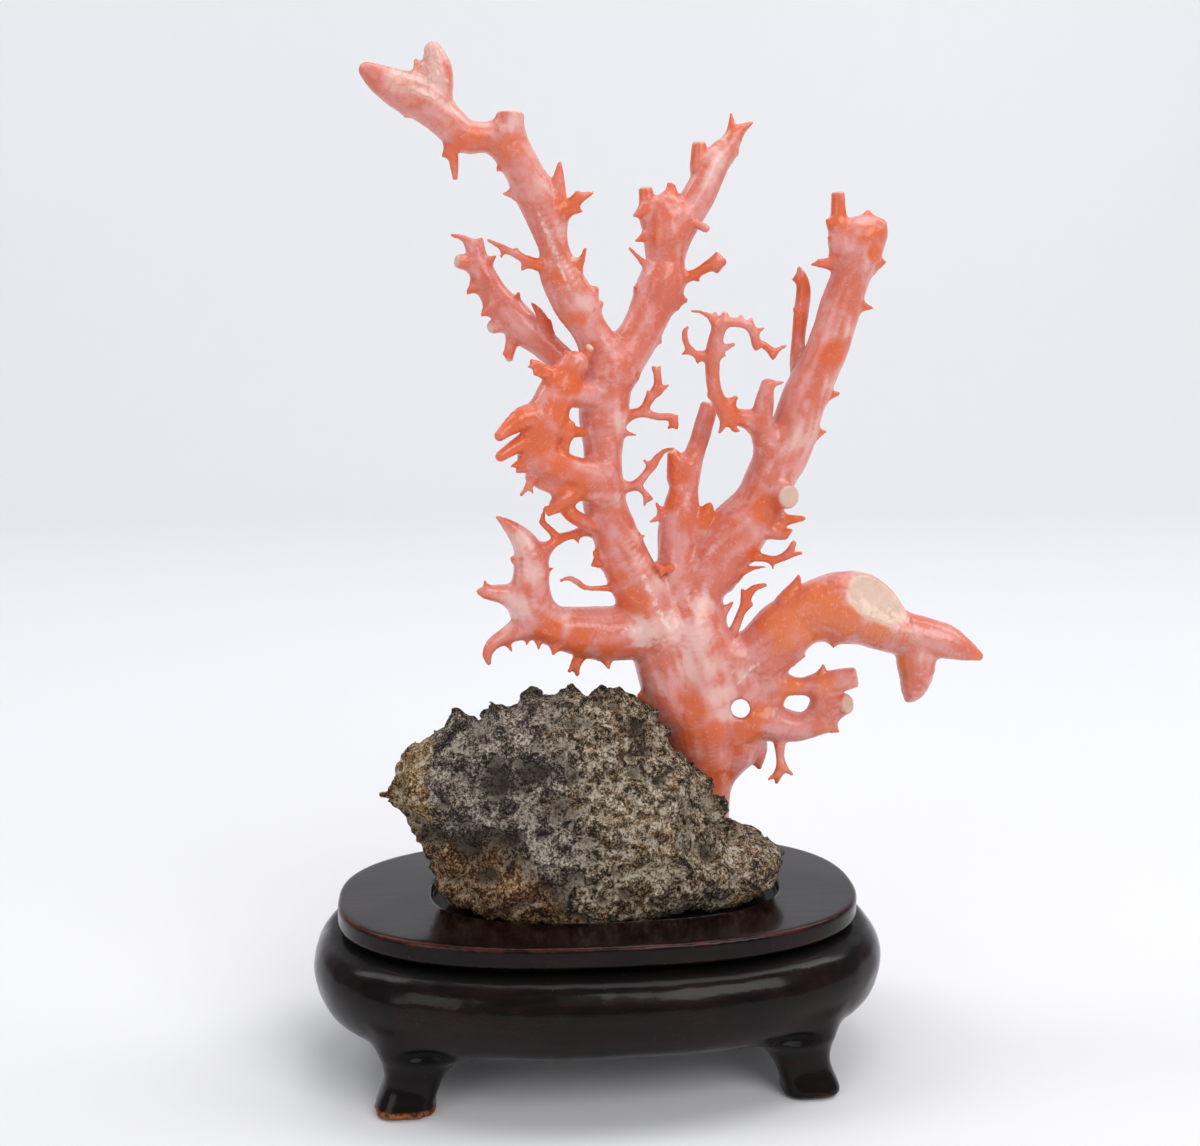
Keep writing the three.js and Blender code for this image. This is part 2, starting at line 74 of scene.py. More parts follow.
CORAL = {
    "coral_trunk": {
        "limbs": [
            [(33.5, 12, 54, 3), (32.5, 12, 65, 4.6), (30.5, 11.5, 74, 6.5), (27.5, 11, 82, 7.6),
             (24.5, 10.5, 90, 8.2), (21.5, 10, 98, 8.8), (19.5, 10, 106, 9), (18, 10, 113, 8.5)],
            [(34, 12.5, 54, 2.8), (34, 12.5, 65, 3), (35.2, 12.5, 71, 4), (38, 12, 79, 6.6),
             (38.6, 12, 84, 7.2), (38, 11.5, 90, 8), (37, 11.5, 98, 8.2), (35.5, 12, 104, 8)],
            [(30, 11, 78, 8), (29, 10, 90, 9.5), (28, 10, 102, 10), (26.5, 10.5, 112, 9.5),
             (26, 11, 117, 8.5)],
            [(40, 12, 82, 5), (44, 12, 80, 3.6), (45.2, 12, 75.4, 1.8), (45.7, 12, 73.4, 0.8)],
            [(18, 9, 92, 4), (12.5, 8.5, 95, 1.2)],
            [(43.5, 9, 87, 2.4), (41.8, 6, 84, 0.5)],
            [(36.5, 10, 110, 1.4), (37.5, 8, 113, 1.3), (38.8, 7, 117, 1.1), (40, 7, 120, 1.1),
             (40.8, 7, 122.3, 1.2), (42.5, 7, 124.3, 0.9), (45.3, 6, 125.3, 0.6)],
        ],
        "thorns": [
            [(40, 7, 121.2, 0.8), (39.3, 7, 124, 0.4)],
            [(40.5, 7, 119.2, 0.8), (42, 6.5, 120, 0.4)],
        ],
    },
    "coral_left_arm": {
        "limbs": [
            [(19, 10, 112, 8.5), (12, 9, 112.6, 7.4), (4, 8, 112.6, 7.2), (-4, 7, 113.6, 6.4),
             (-11, 6, 115.2, 5.6), (-16, 5, 119, 5.6), (-17.5, 4, 125, 5), (-17.5, 4, 131, 4.6),
             (-18, 4, 136, 4), (-20.5, 4, 140, 2.8), (-24, 3, 143.5, 1.2), (-26, 3, 144.8, 0.4)],
            [(-18, 5, 122, 4.6), (-24, 3, 124.6, 2.7), (-29, 1, 125.5, 1.7), (-31, 0, 126, 0.6)],
            [(-17, 5, 116.5, 4), (-23.5, 3, 113.8, 2.2), (-27.5, 1, 111.8, 1.7), (-29, 0, 109.2, 1.3),
             (-28.6, 0, 107.2, 0.8)],
            [(-16, 4, 134, 3.2), (-12, 5, 137, 1.5), (-8.5, 7, 138.8, 1.3), (-5.4, 8, 139.4, 1.2),
             (-2, 9, 140.5, 1.9)],
            [(-10, 6, 138.6, 1.3), (-12, 5, 141, 1), (-14.2, 4, 143.3, 0.9), (-14, 3, 145.2, 0.6),
             (-13.4, 3, 147.5, 0.3)],
            [(-3, 7, 109, 2.4), (-5.3, 6, 105.3, 1.2), (-7.2, 5, 103.2, 0.5)],
        ],
        "thorns": [
            [(-5, 8, 139.4, 0.8), (-4.5, 7, 137.3, 0.3)],
            [(-28.6, 1, 126.6, 0.7), (-29.3, 1, 128.5, 0.3)],
            [(-24, 2.5, 112.6, 0.9), (-22.6, 2, 109.8, 0.4)],
            [(-18.2, 4, 113.4, 0.8), (-18.5, 3, 111, 0.3)],
            [(-15.4, 4, 111.8, 0.9), (-15.4, 3, 109.9, 0.3)],
            [(-10.5, 4, 111, 1.8), (-11.6, 2, 108.6, 0.5)],
            [(-5.2, 6, 105, 1), (-5, 5, 102, 0.5)],
            [(2.6, 6, 106.4, 1.6), (3.3, 4, 103.9, 0.4)],
            [(-12.9, 4, 130.6, 0.6), (-11.7, 4, 131, 0.3)],
            [(-21.4, 3, 133.4, 1), (-22.5, 2, 134.2, 0.4)],
        ],
    },
    "coral_left_stem": {
        "limbs": [
            [(15.5, 10, 114, 8.6), (13.5, 9.5, 121, 7.6), (9.8, 9, 129, 6.8), (5.6, 9, 138, 5.9),
             (3, 9, 146, 5.6), (2.4, 9, 154, 5.2), (2.2, 9, 162, 5.3), (2.2, 9.5, 170, 6.2),
             (3, 10, 178, 6.4), (4, 10, 183, 6.8), (4.6, 10.5, 186, 4.4)],
            [(6.5, 9, 124.8, 1.4), (1, 7, 125, 0.7), (-2.8, 6, 125.4, 0.7), (-4.8, 5, 127, 0.8),
             (-6.8, 5, 128.2, 0.7), (-9.4, 4, 127.8, 0.4)],
            [(7, 10, 169, 2), (9.6, 9, 170.6, 1.4), (12.6, 8, 171.6, 1.3), (14, 8, 174.5, 1.1),
             (16, 8, 177, 1.3), (16.4, 8, 180, 0.8), (15.2, 8, 182.8, 0.6)],
            [(13, 8, 171, 1.1), (16.5, 7, 170.1, 1), (19.8, 7, 170, 1), (20.8, 7, 168.3, 0.9),
             (21.3, 7, 167.2, 0.5)],
            [(6, 9, 151.8, 2.2), (9.4, 8, 151.8, 1.4), (11.4, 7, 153, 1.3), (13.4, 7, 155.4, 1.1),
             (15, 7, 157.4, 1.3), (16.4, 7, 159.6, 1), (18, 7, 161.2, 0.7), (20.3, 6, 161.9, 0.4)],
            [(11, 7, 151.9, 1), (13, 6, 150.2, 0.8), (13.8, 6, 148.8, 0.6)],
        ],
        "thorns": [
            [(2, 8, 132.4, 2.2), (-0.9, 7, 131.2, 0.5)],
            [(3.5, 8, 134, 2), (-0.2, 7, 134.4, 0.6)],
            [(16.3, 8, 180, 0.7), (16.9, 8, 183, 0.4)],
            [(14.4, 8, 174.6, 0.7), (13.6, 7, 176.6, 0.3)],
            [(16.6, 8, 176.6, 0.9), (18.9, 7, 178.2, 0.3)],
            [(20.4, 7, 169.2, 0.7), (21.4, 7, 170.2, 0.4)],
            [(20.6, 7, 168.3, 0.7), (19.2, 7, 167.2, 0.4)],
            [(14.4, 7, 157.4, 0.7), (12.7, 6, 158.8, 0.3)],
            [(13.4, 6, 149.4, 0.6), (14.7, 6, 148.8, 0.3)],
            [(13.4, 6, 149.2, 0.6), (12.8, 6, 147.2, 0.3)],
            [(7, 8, 166, 1), (10.4, 6, 165.5, 0.3)],
            [(9, 8, 137, 1.4), (12.6, 6, 139, 0.4)],
            [(9, 9, 179.8, 0.9), (10.9, 7, 181.2, 0.4)],
        ],
    },
    "coral_front_cluster": {
        "limbs": [
            [(1, 6, 154.5, 4.5), (-5, 3, 156, 4.2), (-10.5, 1, 158, 4.4), (-15, 0, 160.5, 4.6),
             (-17, 0, 163, 3.6)],
            [(-15.5, 0, 164, 4.4), (-13.4, 0, 170, 5), (-11, 1, 176, 4.6), (-8.2, 2, 181, 3.9),
             (-6, 2, 183.8, 3.5)],
            [(-14, 0, 170, 4.4), (-19, -3, 170.6, 3.1), (-23, -5, 168.4, 2), (-25.4, -7, 166.6, 1.4)],
            [(-15, 0, 165, 3.6), (-20.4, -3, 164, 2.1), (-25.2, -6, 161.4, 1.4)],
            [(-8.5, 1, 177, 3.4), (-3, 5, 176, 3.6), (1, 7, 175, 3.4)],
            [(2, 6, 150.5, 4), (-5, 4, 152.6, 3), (-12, 2, 153.2, 2.4), (-16.8, 1, 155.4, 1.8)],
            [(-6, 3, 151, 2.6), (-9.5, 1, 149, 2.8), (-12.7, -1, 146.2, 0.8)],
            [(-9, 2, 149, 2.4), (-6.6, 3, 145.2, 2), (-1.4, 6, 142, 2)],
            [(-9.2, 1, 171, 1.6), (-7.6, 0, 167.4, 1.2), (-8.6, 0, 163.6, 1.4), (-9, 1, 160, 1.6)],
        ],
        "stubs": [
            [(-4, 3, 184, 1.6), (-2.6, 2, 187, 1.3), (-1.8, 1, 188.6, 1.2)],
        ],
        "thorns": [
            [(-8.6, 0, 167.2, 2), (-3.4, 4, 166.4, 1.1)],
            [(-8, 0, 167, 0.8), (-6.3, 0, 169, 0.4)],
            [(-18, -1, 159.8, 1.8), (-22.2, -3, 158.6, 0.4)],
            [(-18, -1, 158, 1.2), (-21, -2, 157, 0.4)],
            [(-16.4, 0, 156, 1.2), (-17.8, -1, 153.6, 0.8), (-20, -2, 151, 0.4)],
            [(-17.8, -1, 153.6, 0.6), (-16.9, -1, 151.6, 0.3)],
            [(-12.6, 0, 146.4, 0.7), (-13.5, -1, 147.6, 0.3)],
            [(-10.4, 1, 180.8, 1.7), (-13.9, -1, 182.6, 1.4), (-16.9, -3, 185, 0.6)],
            [(-13.4, -1, 181.8, 1.4), (-16.3, -3, 181.9, 0.5)],
            [(-15.4, -2, 183.8, 0.9), (-17.7, -4, 183.6, 0.3)],
            [(-7.6, 1, 185.4, 1), (-8.2, 1, 187.3, 0.4)],
        ],
    },
    "coral_upper_left": {
        "limbs": [
            [(0, 12, 178, 3.2), (-4.6, 14, 181.4, 3.5), (-9.4, 15, 185.6, 3.8), (-13.4, 16, 189.2, 4),
             (-17.4, 17, 192.4, 4.3), (-21, 18, 196, 4.3), (-24.2, 18.5, 199.8, 4),
             (-26.8, 19, 203.8, 3.7), (-29.2, 19, 208.4, 3.4), (-30.4, 19, 212.4, 2.5),
             (-33, 19, 215.8, 1), (-36.4, 18, 216.6, 0.5)],
            [(-11.6, 15, 190, 1.8), (-12.8, 14, 194.4, 1.4), (-14.2, 14, 197.2, 1),
             (-15.9, 13, 199.2, 0.4)],
        ],
        "stubs": [
            [(-30, 19, 209.2, 2.6), (-35.5, 17, 210.2, 1.8)],
            [(-20.8, 17, 190.4, 2), (-21.4, 16, 187.4, 1.3), (-22, 15, 184.2, 0.9)],
            [(-23, 18, 194.4, 2.6), (-27, 16, 192.7, 1.4)],
        ],
        "thorns": [
            [(-29.6, 19, 213.6, 1.8), (-28.6, 19, 215.8, 0.6)],
            [(-27.4, 18, 209.6, 1.4), (-25.2, 17, 211.2, 0.5)],
            [(-19.8, 17, 198.4, 1.2), (-19.3, 16, 201.8, 0.5)],
            [(-29.6, 18, 204.4, 2), (-32.4, 17, 202, 0.6)],
            [(-26.4, 17, 198.2, 2), (-28.7, 16, 196.4, 0.6)],
            [(-21.6, 16, 188, 1), (-23.2, 15, 186.2, 0.4)],
            [(-11, 15, 191, 0.8), (-11.2, 14, 194.6, 0.3)],
        ],
    },
    "coral_top_left": {
        "limbs": [
            [(3.4, 10, 183.6, 6), (-1.2, 9, 192, 4.7), (-5, 8, 199, 5.7), (-8.8, 7, 206, 5.1),
             (-10.6, 6, 212.8, 3.8), (-12.4, 5.5, 219, 4.7), (-15.4, 5, 226, 5.2), (-18.4, 4, 232, 4.7),
             (-21.4, 3, 237, 4.7), (-24, 3, 240.4, 4)],
            [(-22.8, 3, 239.2, 4.2), (-28, 2, 239.8, 3.7), (-33.2, 1, 240, 4.1), (-38.6, 0, 244.2, 4.5),
             (-43, -1, 248, 5), (-48.4, -2, 250.4, 4.5), (-53, -3, 252.6, 3.6),
             (-56.2, -3, 254.6, 2.2)],
            [(-39.6, 0, 246.6, 3.5), (-39.3, -1, 252.6, 3.7), (-39.5, -1, 256.6, 3.3),
             (-40.4, -2, 259.6, 2.2)],
            [(-11.2, 5, 220, 3.6), (-9.9, 4, 227.6, 2.1), (-9.3, 3, 233.8, 0.6)],
            [(-10.4, 5, 220.6, 3), (-6.6, 4, 223.6, 1.7), (-3.8, 3, 225.6, 1.2), (-1, 3, 226.6, 0.4)],
            [(-12.6, 6, 208.4, 1.8), (-16.8, 4, 209.5, 1.4), (-19.6, 3, 211, 1), (-22.6, 2, 212.4, 0.9),
             (-25, 1, 213.6, 0.7), (-27.6, 0, 214.8, 0.4)],
            [(-36, 1, 241.4, 2.4), (-36.4, 0, 237.4, 1.9), (-35.8, 0, 234.4, 1.3),
             (-35.4, 0, 229.8, 0.7)],
        ],
        "stubs": [
            [(-22.2, 3, 238.6, 4.5), (-21.7, 2, 242.6, 3.8), (-21.6, 2, 246, 3.5)],
            [(-5.6, 6, 207.6, 1.5), (-5.7, 5, 210.6, 1)],
        ],
        "thorns": [
            [(-43, -1, 253, 2.4), (-44.6, -1, 257.6, 0.4)],
            [(-46, -1, 247.6, 1.6), (-47.2, -1, 244.6, 0.5)],
            [(-22.8, 3, 233.6, 1.2), (-25, 2, 231.9, 0.4)],
            [(-19.4, 4, 226.4, 1.8), (-23.3, 3, 226.2, 0.4)],
            [(-5.4, 3, 225, 1), (-5, 3, 226.9, 0.4)],
            [(-7, 4, 222.8, 1.5), (-3.9, 3, 222, 0.4)],
            [(-5, 6, 207.4, 1.4), (-3.8, 5, 209.6, 0.9), (-2.9, 4, 212.8, 0.5)],
            [(-1.6, 8, 200.4, 2), (0.2, 7, 202.8, 0.8)],
            [(-0.6, 8, 197.6, 1.6), (1.9, 7, 199.4, 0.4)],
            [(-36.6, 0, 236.4, 1.1), (-38.4, 0, 235, 0.5)],
            [(-17.4, 4, 209.4, 1), (-18.9, 4, 207.8, 0.5)],
            [(-23.6, 2, 212.4, 0.6), (-24.2, 2, 210.8, 0.3)],
            [(-20, 3, 211.4, 0.6), (-20.2, 3, 212.6, 0.3)],
        ],
    },
    "coral_top_right": {
        "limbs": [
            [(6, 11, 183, 6), (11.8, 12, 191, 5.2), (15.4, 13, 197.6, 5.5), (18, 14, 204, 6.2),
             (19, 14.5, 210, 5.1), (19.2, 15, 216, 6), (19.4, 15.5, 221, 6)],
            [(20.5, 15, 216, 5), (24.8, 16, 222, 4.5), (29, 17, 228.6, 4.1), (32, 18, 234.6, 4.1),
             (34.6, 18.5, 238, 3.3)],
            [(34.8, 18.5, 237.6, 3), (37, 19, 241.8, 2.1), (36.9, 19, 245.6, 0.9),
             (36.7, 19, 248, 0.4)],
            [(36.8, 19, 240.6, 2.4), (39.3, 19, 244, 1.5), (42.3, 19, 245.8, 0.4)],
            [(22.4, 14, 205.2, 2), (26.8, 13, 206.9, 1.2), (30, 12, 208.8, 1.5), (32.4, 12, 209.8, 1.9),
             (33.6, 12, 209.8, 1.2)],
            [(14.4, 13, 208.4, 1.3), (11.8, 12, 210.8, 0.7), (9.3, 11, 213.2, 0.5)],
            [(24.6, 13, 221, 1.4), (26.6, 12, 219.6, 1), (29, 11, 218.4, 1.1)],
        ],
        "stubs": [
            [(15.6, 15, 221, 3.4), (14.2, 15, 226, 2.1), (13.8, 15, 229, 1.8)],
            [(28.2, 17, 234, 2.4), (28, 17, 240.6, 1.7)],
        ],
        "thorns": [
            [(19.4, 15, 224, 3), (20.3, 15, 227.6, 1.4), (20, 15, 229.8, 0.6)],
            [(20.6, 15, 227, 1), (21.2, 15, 229.2, 0.4)],
            [(14, 14, 216.6, 1.4), (11.2, 13, 215.2, 0.4)],
            [(14, 14, 223, 2), (10.6, 13, 221.6, 0.5)],
            [(12.6, 13, 202.6, 1.6), (10.8, 12, 203.4, 0.5)],
            [(21.6, 13, 200, 1.8), (24.5, 12, 200, 0.5)],
            [(19.6, 12, 198.4, 1.4), (22, 12, 198, 0.4)],
            [(14.4, 12, 190.4, 1.6), (17.6, 11, 189.2, 0.4)],
            [(32.2, 12, 210, 1), (32.2, 12, 212, 0.5)],
            [(32, 12, 209, 1), (32.4, 12, 207.4, 0.5)],
            [(26.6, 13, 206.4, 0.8), (27.6, 13, 205, 0.4)],
            [(35.2, 18, 238.4, 1.6), (38, 18, 238, 0.5)],
        ],
    },
    "coral_middle_stem": {
        "limbs": [
            [(22, 12, 116, 8), (22.4, 12, 126, 6.4), (22.6, 12.5, 135, 5.4), (23.2, 13, 143, 5.2),
             (24.2, 13.5, 150, 4), (24.8, 14, 156, 3.8)],
            [(28, 12, 139, 3.6), (30, 11, 144, 2.2), (30.8, 10, 146.6, 0.7)],
            [(20.6, 8, 130.4, 1.4), (17.8, 5, 130, 0.9), (15.4, 4, 132, 0.5)],
        ],
        "stubs": [
            [(25, 14, 154, 3.4), (28.2, 15, 162, 2.5), (29.9, 15.5, 167.4, 2.4), (31.5, 16, 173, 2.3)],
            [(23, 14, 154, 3.4), (21, 13, 160.8, 1.3)],
        ],
        "thorns": [
            [(18.4, 12, 143.4, 1), (15, 11, 142, 0.4)],
            [(18.6, 12, 143.6, 1.2), (16.5, 11, 147, 0.4)],
            [(17.4, 5, 130, 0.7), (17, 4, 128.6, 0.3)],
        ],
    },
    "coral_right_stem": {
        "limbs": [
            [(25.5, 11, 113, 8.5), (27.6, 12, 121, 6.7), (32, 12.5, 130.4, 7.4), (38.6, 13, 138.4, 8),
             (45, 13, 147, 7), (48.4, 12.5, 156, 6.6), (53, 12, 165, 6.2), (56, 11, 175, 5.8),
             (59.4, 10.5, 183, 5.8), (62.4, 10, 190, 5.6), (65.2, 10, 200, 5.3), (67, 9.5, 206, 5.2),
             (68.6, 9, 211, 5.8), (69.2, 9, 215.4, 6)],
            [(35, 12, 128, 5), (37.6, 11, 129.4, 3)],
            [(56.4, 14, 179, 3.2), (55, 15, 184, 2.4), (55.2, 16, 190, 1.9), (55.8, 16, 197, 2),
             (56.3, 16, 203, 1.9), (55.5, 16, 206.6, 1.4), (55, 16, 208.4, 0.6)],
            [(50, 12.5, 156, 6), (55.4, 12, 161, 3)],
            [(41, 11, 133, 2.4), (45, 9, 132.2, 1.1), (48.8, 8, 131.8, 1.1), (51.4, 7, 133.6, 1),
             (53, 7, 136.2, 0.9)],
            [(46.6, 10, 139.6, 2.6), (50.4, 8, 138.6, 1.7), (51.9, 7, 139.6, 0.8)],
            [(37.6, 10, 127.6, 1.6), (42.4, 8, 129.6, 0.6), (45.2, 7, 130, 0.4)],
        ],
        "stubs": [
            [(65.4, 9, 212.6, 4.2), (63.7, 9, 219.6, 2.3), (63.2, 9, 227.8, 1.8)],
            [(70.2, 9, 214.4, 5), (72.8, 8, 217.6, 3.8), (76, 7.5, 218.4, 1.7)],
            [(46.6, 11, 149, 4.4), (49.6, 6, 149.2, 3.4), (50.8, 3, 149.2, 3)],
        ],
        "thorns": [
            [(55, 15, 197, 0.9), (53.6, 15, 197.6, 0.3)],
            [(54.8, 16, 205.6, 1), (53.4, 16, 205.4, 0.4)],
            [(63, 9, 218.6, 2.2), (60.3, 8, 220.3, 0.6)],
            [(64, 9, 214.6, 1.8), (61, 8, 215.8, 0.4)],
            [(63.6, 9, 209.8, 1.4), (58, 7, 210.2, 0.4)],
            [(62.6, 9, 208.8, 1.2), (56.3, 7, 209.2, 0.4)],
            [(71, 9, 219, 2.4), (71.3, 9, 222.7, 0.6)],
            [(73, 9, 209, 1.8), (75.6, 8, 209.8, 0.6)],
            [(69.4, 9, 198.6, 1.6), (72.9, 8, 198, 0.4)],
            [(60.4, 11, 174.6, 1.6), (64.6, 10, 175.7, 0.7)],
            [(57.4, 11, 164.6, 2.2), (61.6, 10, 165.6, 0.4)],
            [(49, 11, 141.8, 2.2), (55.8, 8, 142.8, 0.7)],
            [(51, 7, 132.8, 0.8), (54.9, 6, 133.8, 0.5)],
            [(47.4, 8, 131.4, 0.6), (47.5, 7, 129.5, 0.3)],
            [(34.4, 9, 117.4, 1.4), (36.9, 8, 120.3, 0.4)],
        ],
    },
    "coral_hooked_branch": {
        "limbs": [
            [(47.6, 11, 160, 4.6), (44.4, 9, 166, 3.2), (41, 8, 169, 2.7), (37, 7, 170, 2.2),
             (34.2, 6, 171.4, 2.4), (31.8, 5, 174.6, 2), (30.4, 4, 178.6, 1.8), (29.9, 3, 183, 1.8),
             (29.9, 2, 187, 1.9), (30.4, 1, 190.6, 1.8), (31.2, 0, 193.2, 1.7), (33.2, 0, 194.5, 1.4),
             (36.4, 0, 194.3, 1.2), (39, 0, 193.2, 1.1), (40.2, 0, 190.8, 1.1), (40.8, 0, 188.9, 1),
             (42.2, 0, 189, 0.9), (43.8, 0, 187.9, 0.9), (45, 0, 186.6, 0.9), (46.4, 0, 187.6, 0.6),
             (48.2, 0, 188.6, 0.3)],
            [(30.4, 1, 193.6, 1.2), (28.7, 1, 196, 0.8), (26.6, 1, 197, 0.5), (24, 1, 197.4, 0.3)],
            [(29.4, 3, 185.6, 1.6), (25.8, 2, 186.2, 1), (23.6, 1, 187.6, 0.8), (22.3, 0, 190, 0.8),
             (22.2, 0, 192.4, 0.7), (22.9, 0, 193.4, 0.4)],
            [(43.6, 8, 168, 3), (44.4, 7, 174, 2.4), (44.9, 6, 178, 1.8)],
        ],
        "stubs": [
            [(32, 0, 194.6, 1.3), (32.6, 0, 197.3, 0.8)],
        ],
        "thorns": [
            [(45, 6, 178.4, 1), (48.8, 5, 179, 0.4)],
            [(30.4, 1, 194.8, 0.7), (30.1, 1, 197, 0.3)],
            [(45, 0, 186.8, 0.8), (45.1, 0, 185.3, 0.4)],
            [(40.4, 0, 189.6, 0.8), (40.6, 0, 187.6, 0.4)],
            [(39, 0, 193.8, 0.9), (39.3, 0, 195.6, 0.3)],
            [(36.4, 0, 194.8, 0.8), (36.7, 0, 196.2, 0.3)],
            [(40, 0, 191.8, 0.8), (42.5, 0, 193, 0.4)],
            [(23.8, 1, 187.4, 0.7), (21.8, 1, 186.4, 0.3)],
            [(26.4, 2, 186, 0.7), (25.8, 2, 184.3, 0.3)],
            [(30.6, 2, 187.4, 1.1), (33.2, 1, 188.2, 0.8), (34.9, 0, 189, 0.5)],
            [(30.8, 2, 186.4, 0.9), (32.6, 1, 186, 0.3)],
            [(31.6, 5, 175.4, 1), (29.1, 4, 175.6, 0.3)],
            [(34.4, 6, 172.6, 1.8), (36.4, 5, 175, 0.7)],
            [(34.2, 6, 170, 1.4), (33, 5, 167.6, 0.8), (32.3, 5, 165.9, 0.3)],
            [(35.2, 6, 169.6, 1.2), (36.2, 5, 166.8, 0.8), (37.2, 4, 166.4, 0.4)],
        ],
    },
    "coral_claw_arm": {
        "limbs": [
            [(36, 11, 103, 7.4), (43, 11, 105, 7.1), (50, 10, 111.2, 7.7), (56, 10, 115.4, 7.6),
             (62, 9, 117.8, 8.6), (68, 8.6, 118, 9.6), (72.5, 8.4, 117.4, 9.3), (79, 7, 113.4, 6.7),
             (84, 6, 111.6, 5.7), (89, 5, 110.6, 5.5), (94, 4, 109.4, 4.8), (99, 3, 107.4, 3.2),
             (103, 2, 105.6, 1.4)],
            [(86.8, 6, 108, 5.2), (87.2, 5, 101.6, 5.1), (86.2, 4, 96.6, 3.5), (84.8, 4, 93.8, 1.3)],
            [(52, 9, 120, 3), (54, 9, 124, 1.6), (54.8, 8, 127, 0.6)],
            [(46, 10, 104, 6.5), (52, 10, 107, 4.5)],
        ],
        "thorns": [
            [(64.6, 7, 111, 2), (64, 5, 108.3, 0.5)],
            [(54, 9, 104.4, 1.4), (56.6, 8, 105.2, 0.4)],
        ],
    },
    "coral_lower_hand": {
        "limbs": [
            [(37, 11, 92, 8), (43, 10, 97, 6), (49, 9, 97.4, 4), (55, 9, 96.6, 2.5), (61, 8, 96.8, 3)],
            [(38, 11, 86, 7), (44, 10, 88, 6.4), (50, 9, 86.4, 4.8), (56, 8, 85.6, 4),
             (61.6, 7.5, 87.6, 4.2), (64, 7, 90, 3.6)],
            [(61, 8, 96, 3.2), (63, 7.5, 91, 3.2)],
            [(45, 10, 92, 5), (48.6, 9.5, 93.4, 3.4)],
            [(50.4, 8, 83, 2), (50.4, 7, 78, 1.1), (50.6, 6, 75, 1.3), (49.8, 6, 72.8, 1),
             (49.4, 6, 70.6, 0.5)],
        ],
        "stubs": [
            [(60, 8, 97, 3.2), (66.4, 7, 98.6, 3.2), (71, 6, 99.6, 2.6)],
            [(62, 7.5, 90, 4), (66, 5, 92, 3.2), (68.2, 3, 92.8, 2.6)],
        ],
        "thorns": [
            [(61, 8, 98.6, 1.5), (61.9, 7, 102.6, 0.6)],
            [(62.4, 7, 86.6, 2), (66, 6, 84.6, 0.6)],
            [(51, 6, 75, 0.9), (53.5, 5, 73, 0.4)],
            [(49.8, 6, 73.2, 0.8), (47, 5, 71.9, 0.4)],
        ],
    },
}

# Patches of colour on the coral's front: (x, z, radius, strength), worked into the noise.
ORANGE_PATCHES = [
    (47, 117, 6, 1.0), (54, 119, 6, 1.1), (61, 121, 6, 1.1), (66, 117, 6, 0.9), (74, 113, 5, 0.8),
    (58, 112, 5, 0.9), (50, 110, 4, 0.6), (82, 104, 3.5, 1.0), (84, 99, 3, 0.6), (-16, 166, 6, 1.1),
    (-10, 172, 5, 1.0), (-8, 180, 5, 1.0), (-15, 182, 4, 0.9), (-11, 158, 5, 0.9), (-6, 153, 5, 0.8),
    (-9, 146, 4, 0.7), (-20, 170, 4, 0.8), (-8, 163, 4, 1.0), (3, 110, 5, 0.8), (-5, 112, 4, 0.9),
    (-13, 115, 4, 1.0), (7, 106, 5, 0.6), (-2, 106, 4, 0.7), (9, 122, 4.5, 1.0), (5, 128, 4, 0.8),
    (2, 138, 4, 0.5), (-5, 195, 4, 0.6), (-10, 205, 3.5, 0.5), (-14, 215, 3, 0.4), (-22, 238, 5, 0.6),
    (-34, 238, 3, 0.5), (-30, 241, 4, 0.5), (-5, 210, 2.5, 0.7), (-8, 223, 4, 0.6), (20, 205, 5, 0.4),
    (15, 215, 5, 0.5), (22, 222, 4, 0.4), (28, 208, 3, 0.6), (21, 155, 3.5, 1.0), (20, 148, 4, 0.8),
    (24, 143, 3, 0.5), (30, 143, 4, 1.0), (36, 142, 3, 0.6), (45, 146, 4.5, 1.0), (42, 133, 5, 0.7),
    (40, 126, 3, 0.4), (62, 186, 3.6, 1.1), (53, 195, 3, 1.0), (55, 203, 2.5, 0.9), (62, 222, 3, 1.0),
    (71, 217, 4, 1.0), (66, 219, 4, 0.6), (72, 212, 2.5, 1.1), (74, 209, 2, 0.7), (26, 92, 5, 0.9),
    (30, 86, 6, 0.8), (22, 95, 3.5, 0.5), (41, 86, 5, 1.0), (38, 80, 4, 0.7), (43, 90, 4, 0.9),
    (34, 72, 5, 0.9), (31, 76, 5, 0.6), (24, 84, 4, 0.6), (52, 97, 4, 0.8), (62, 99, 4, 0.5),
    (62, 87, 4, 0.5), (36, 170, 4, 0.7), (42, 169, 3, 0.5),
]
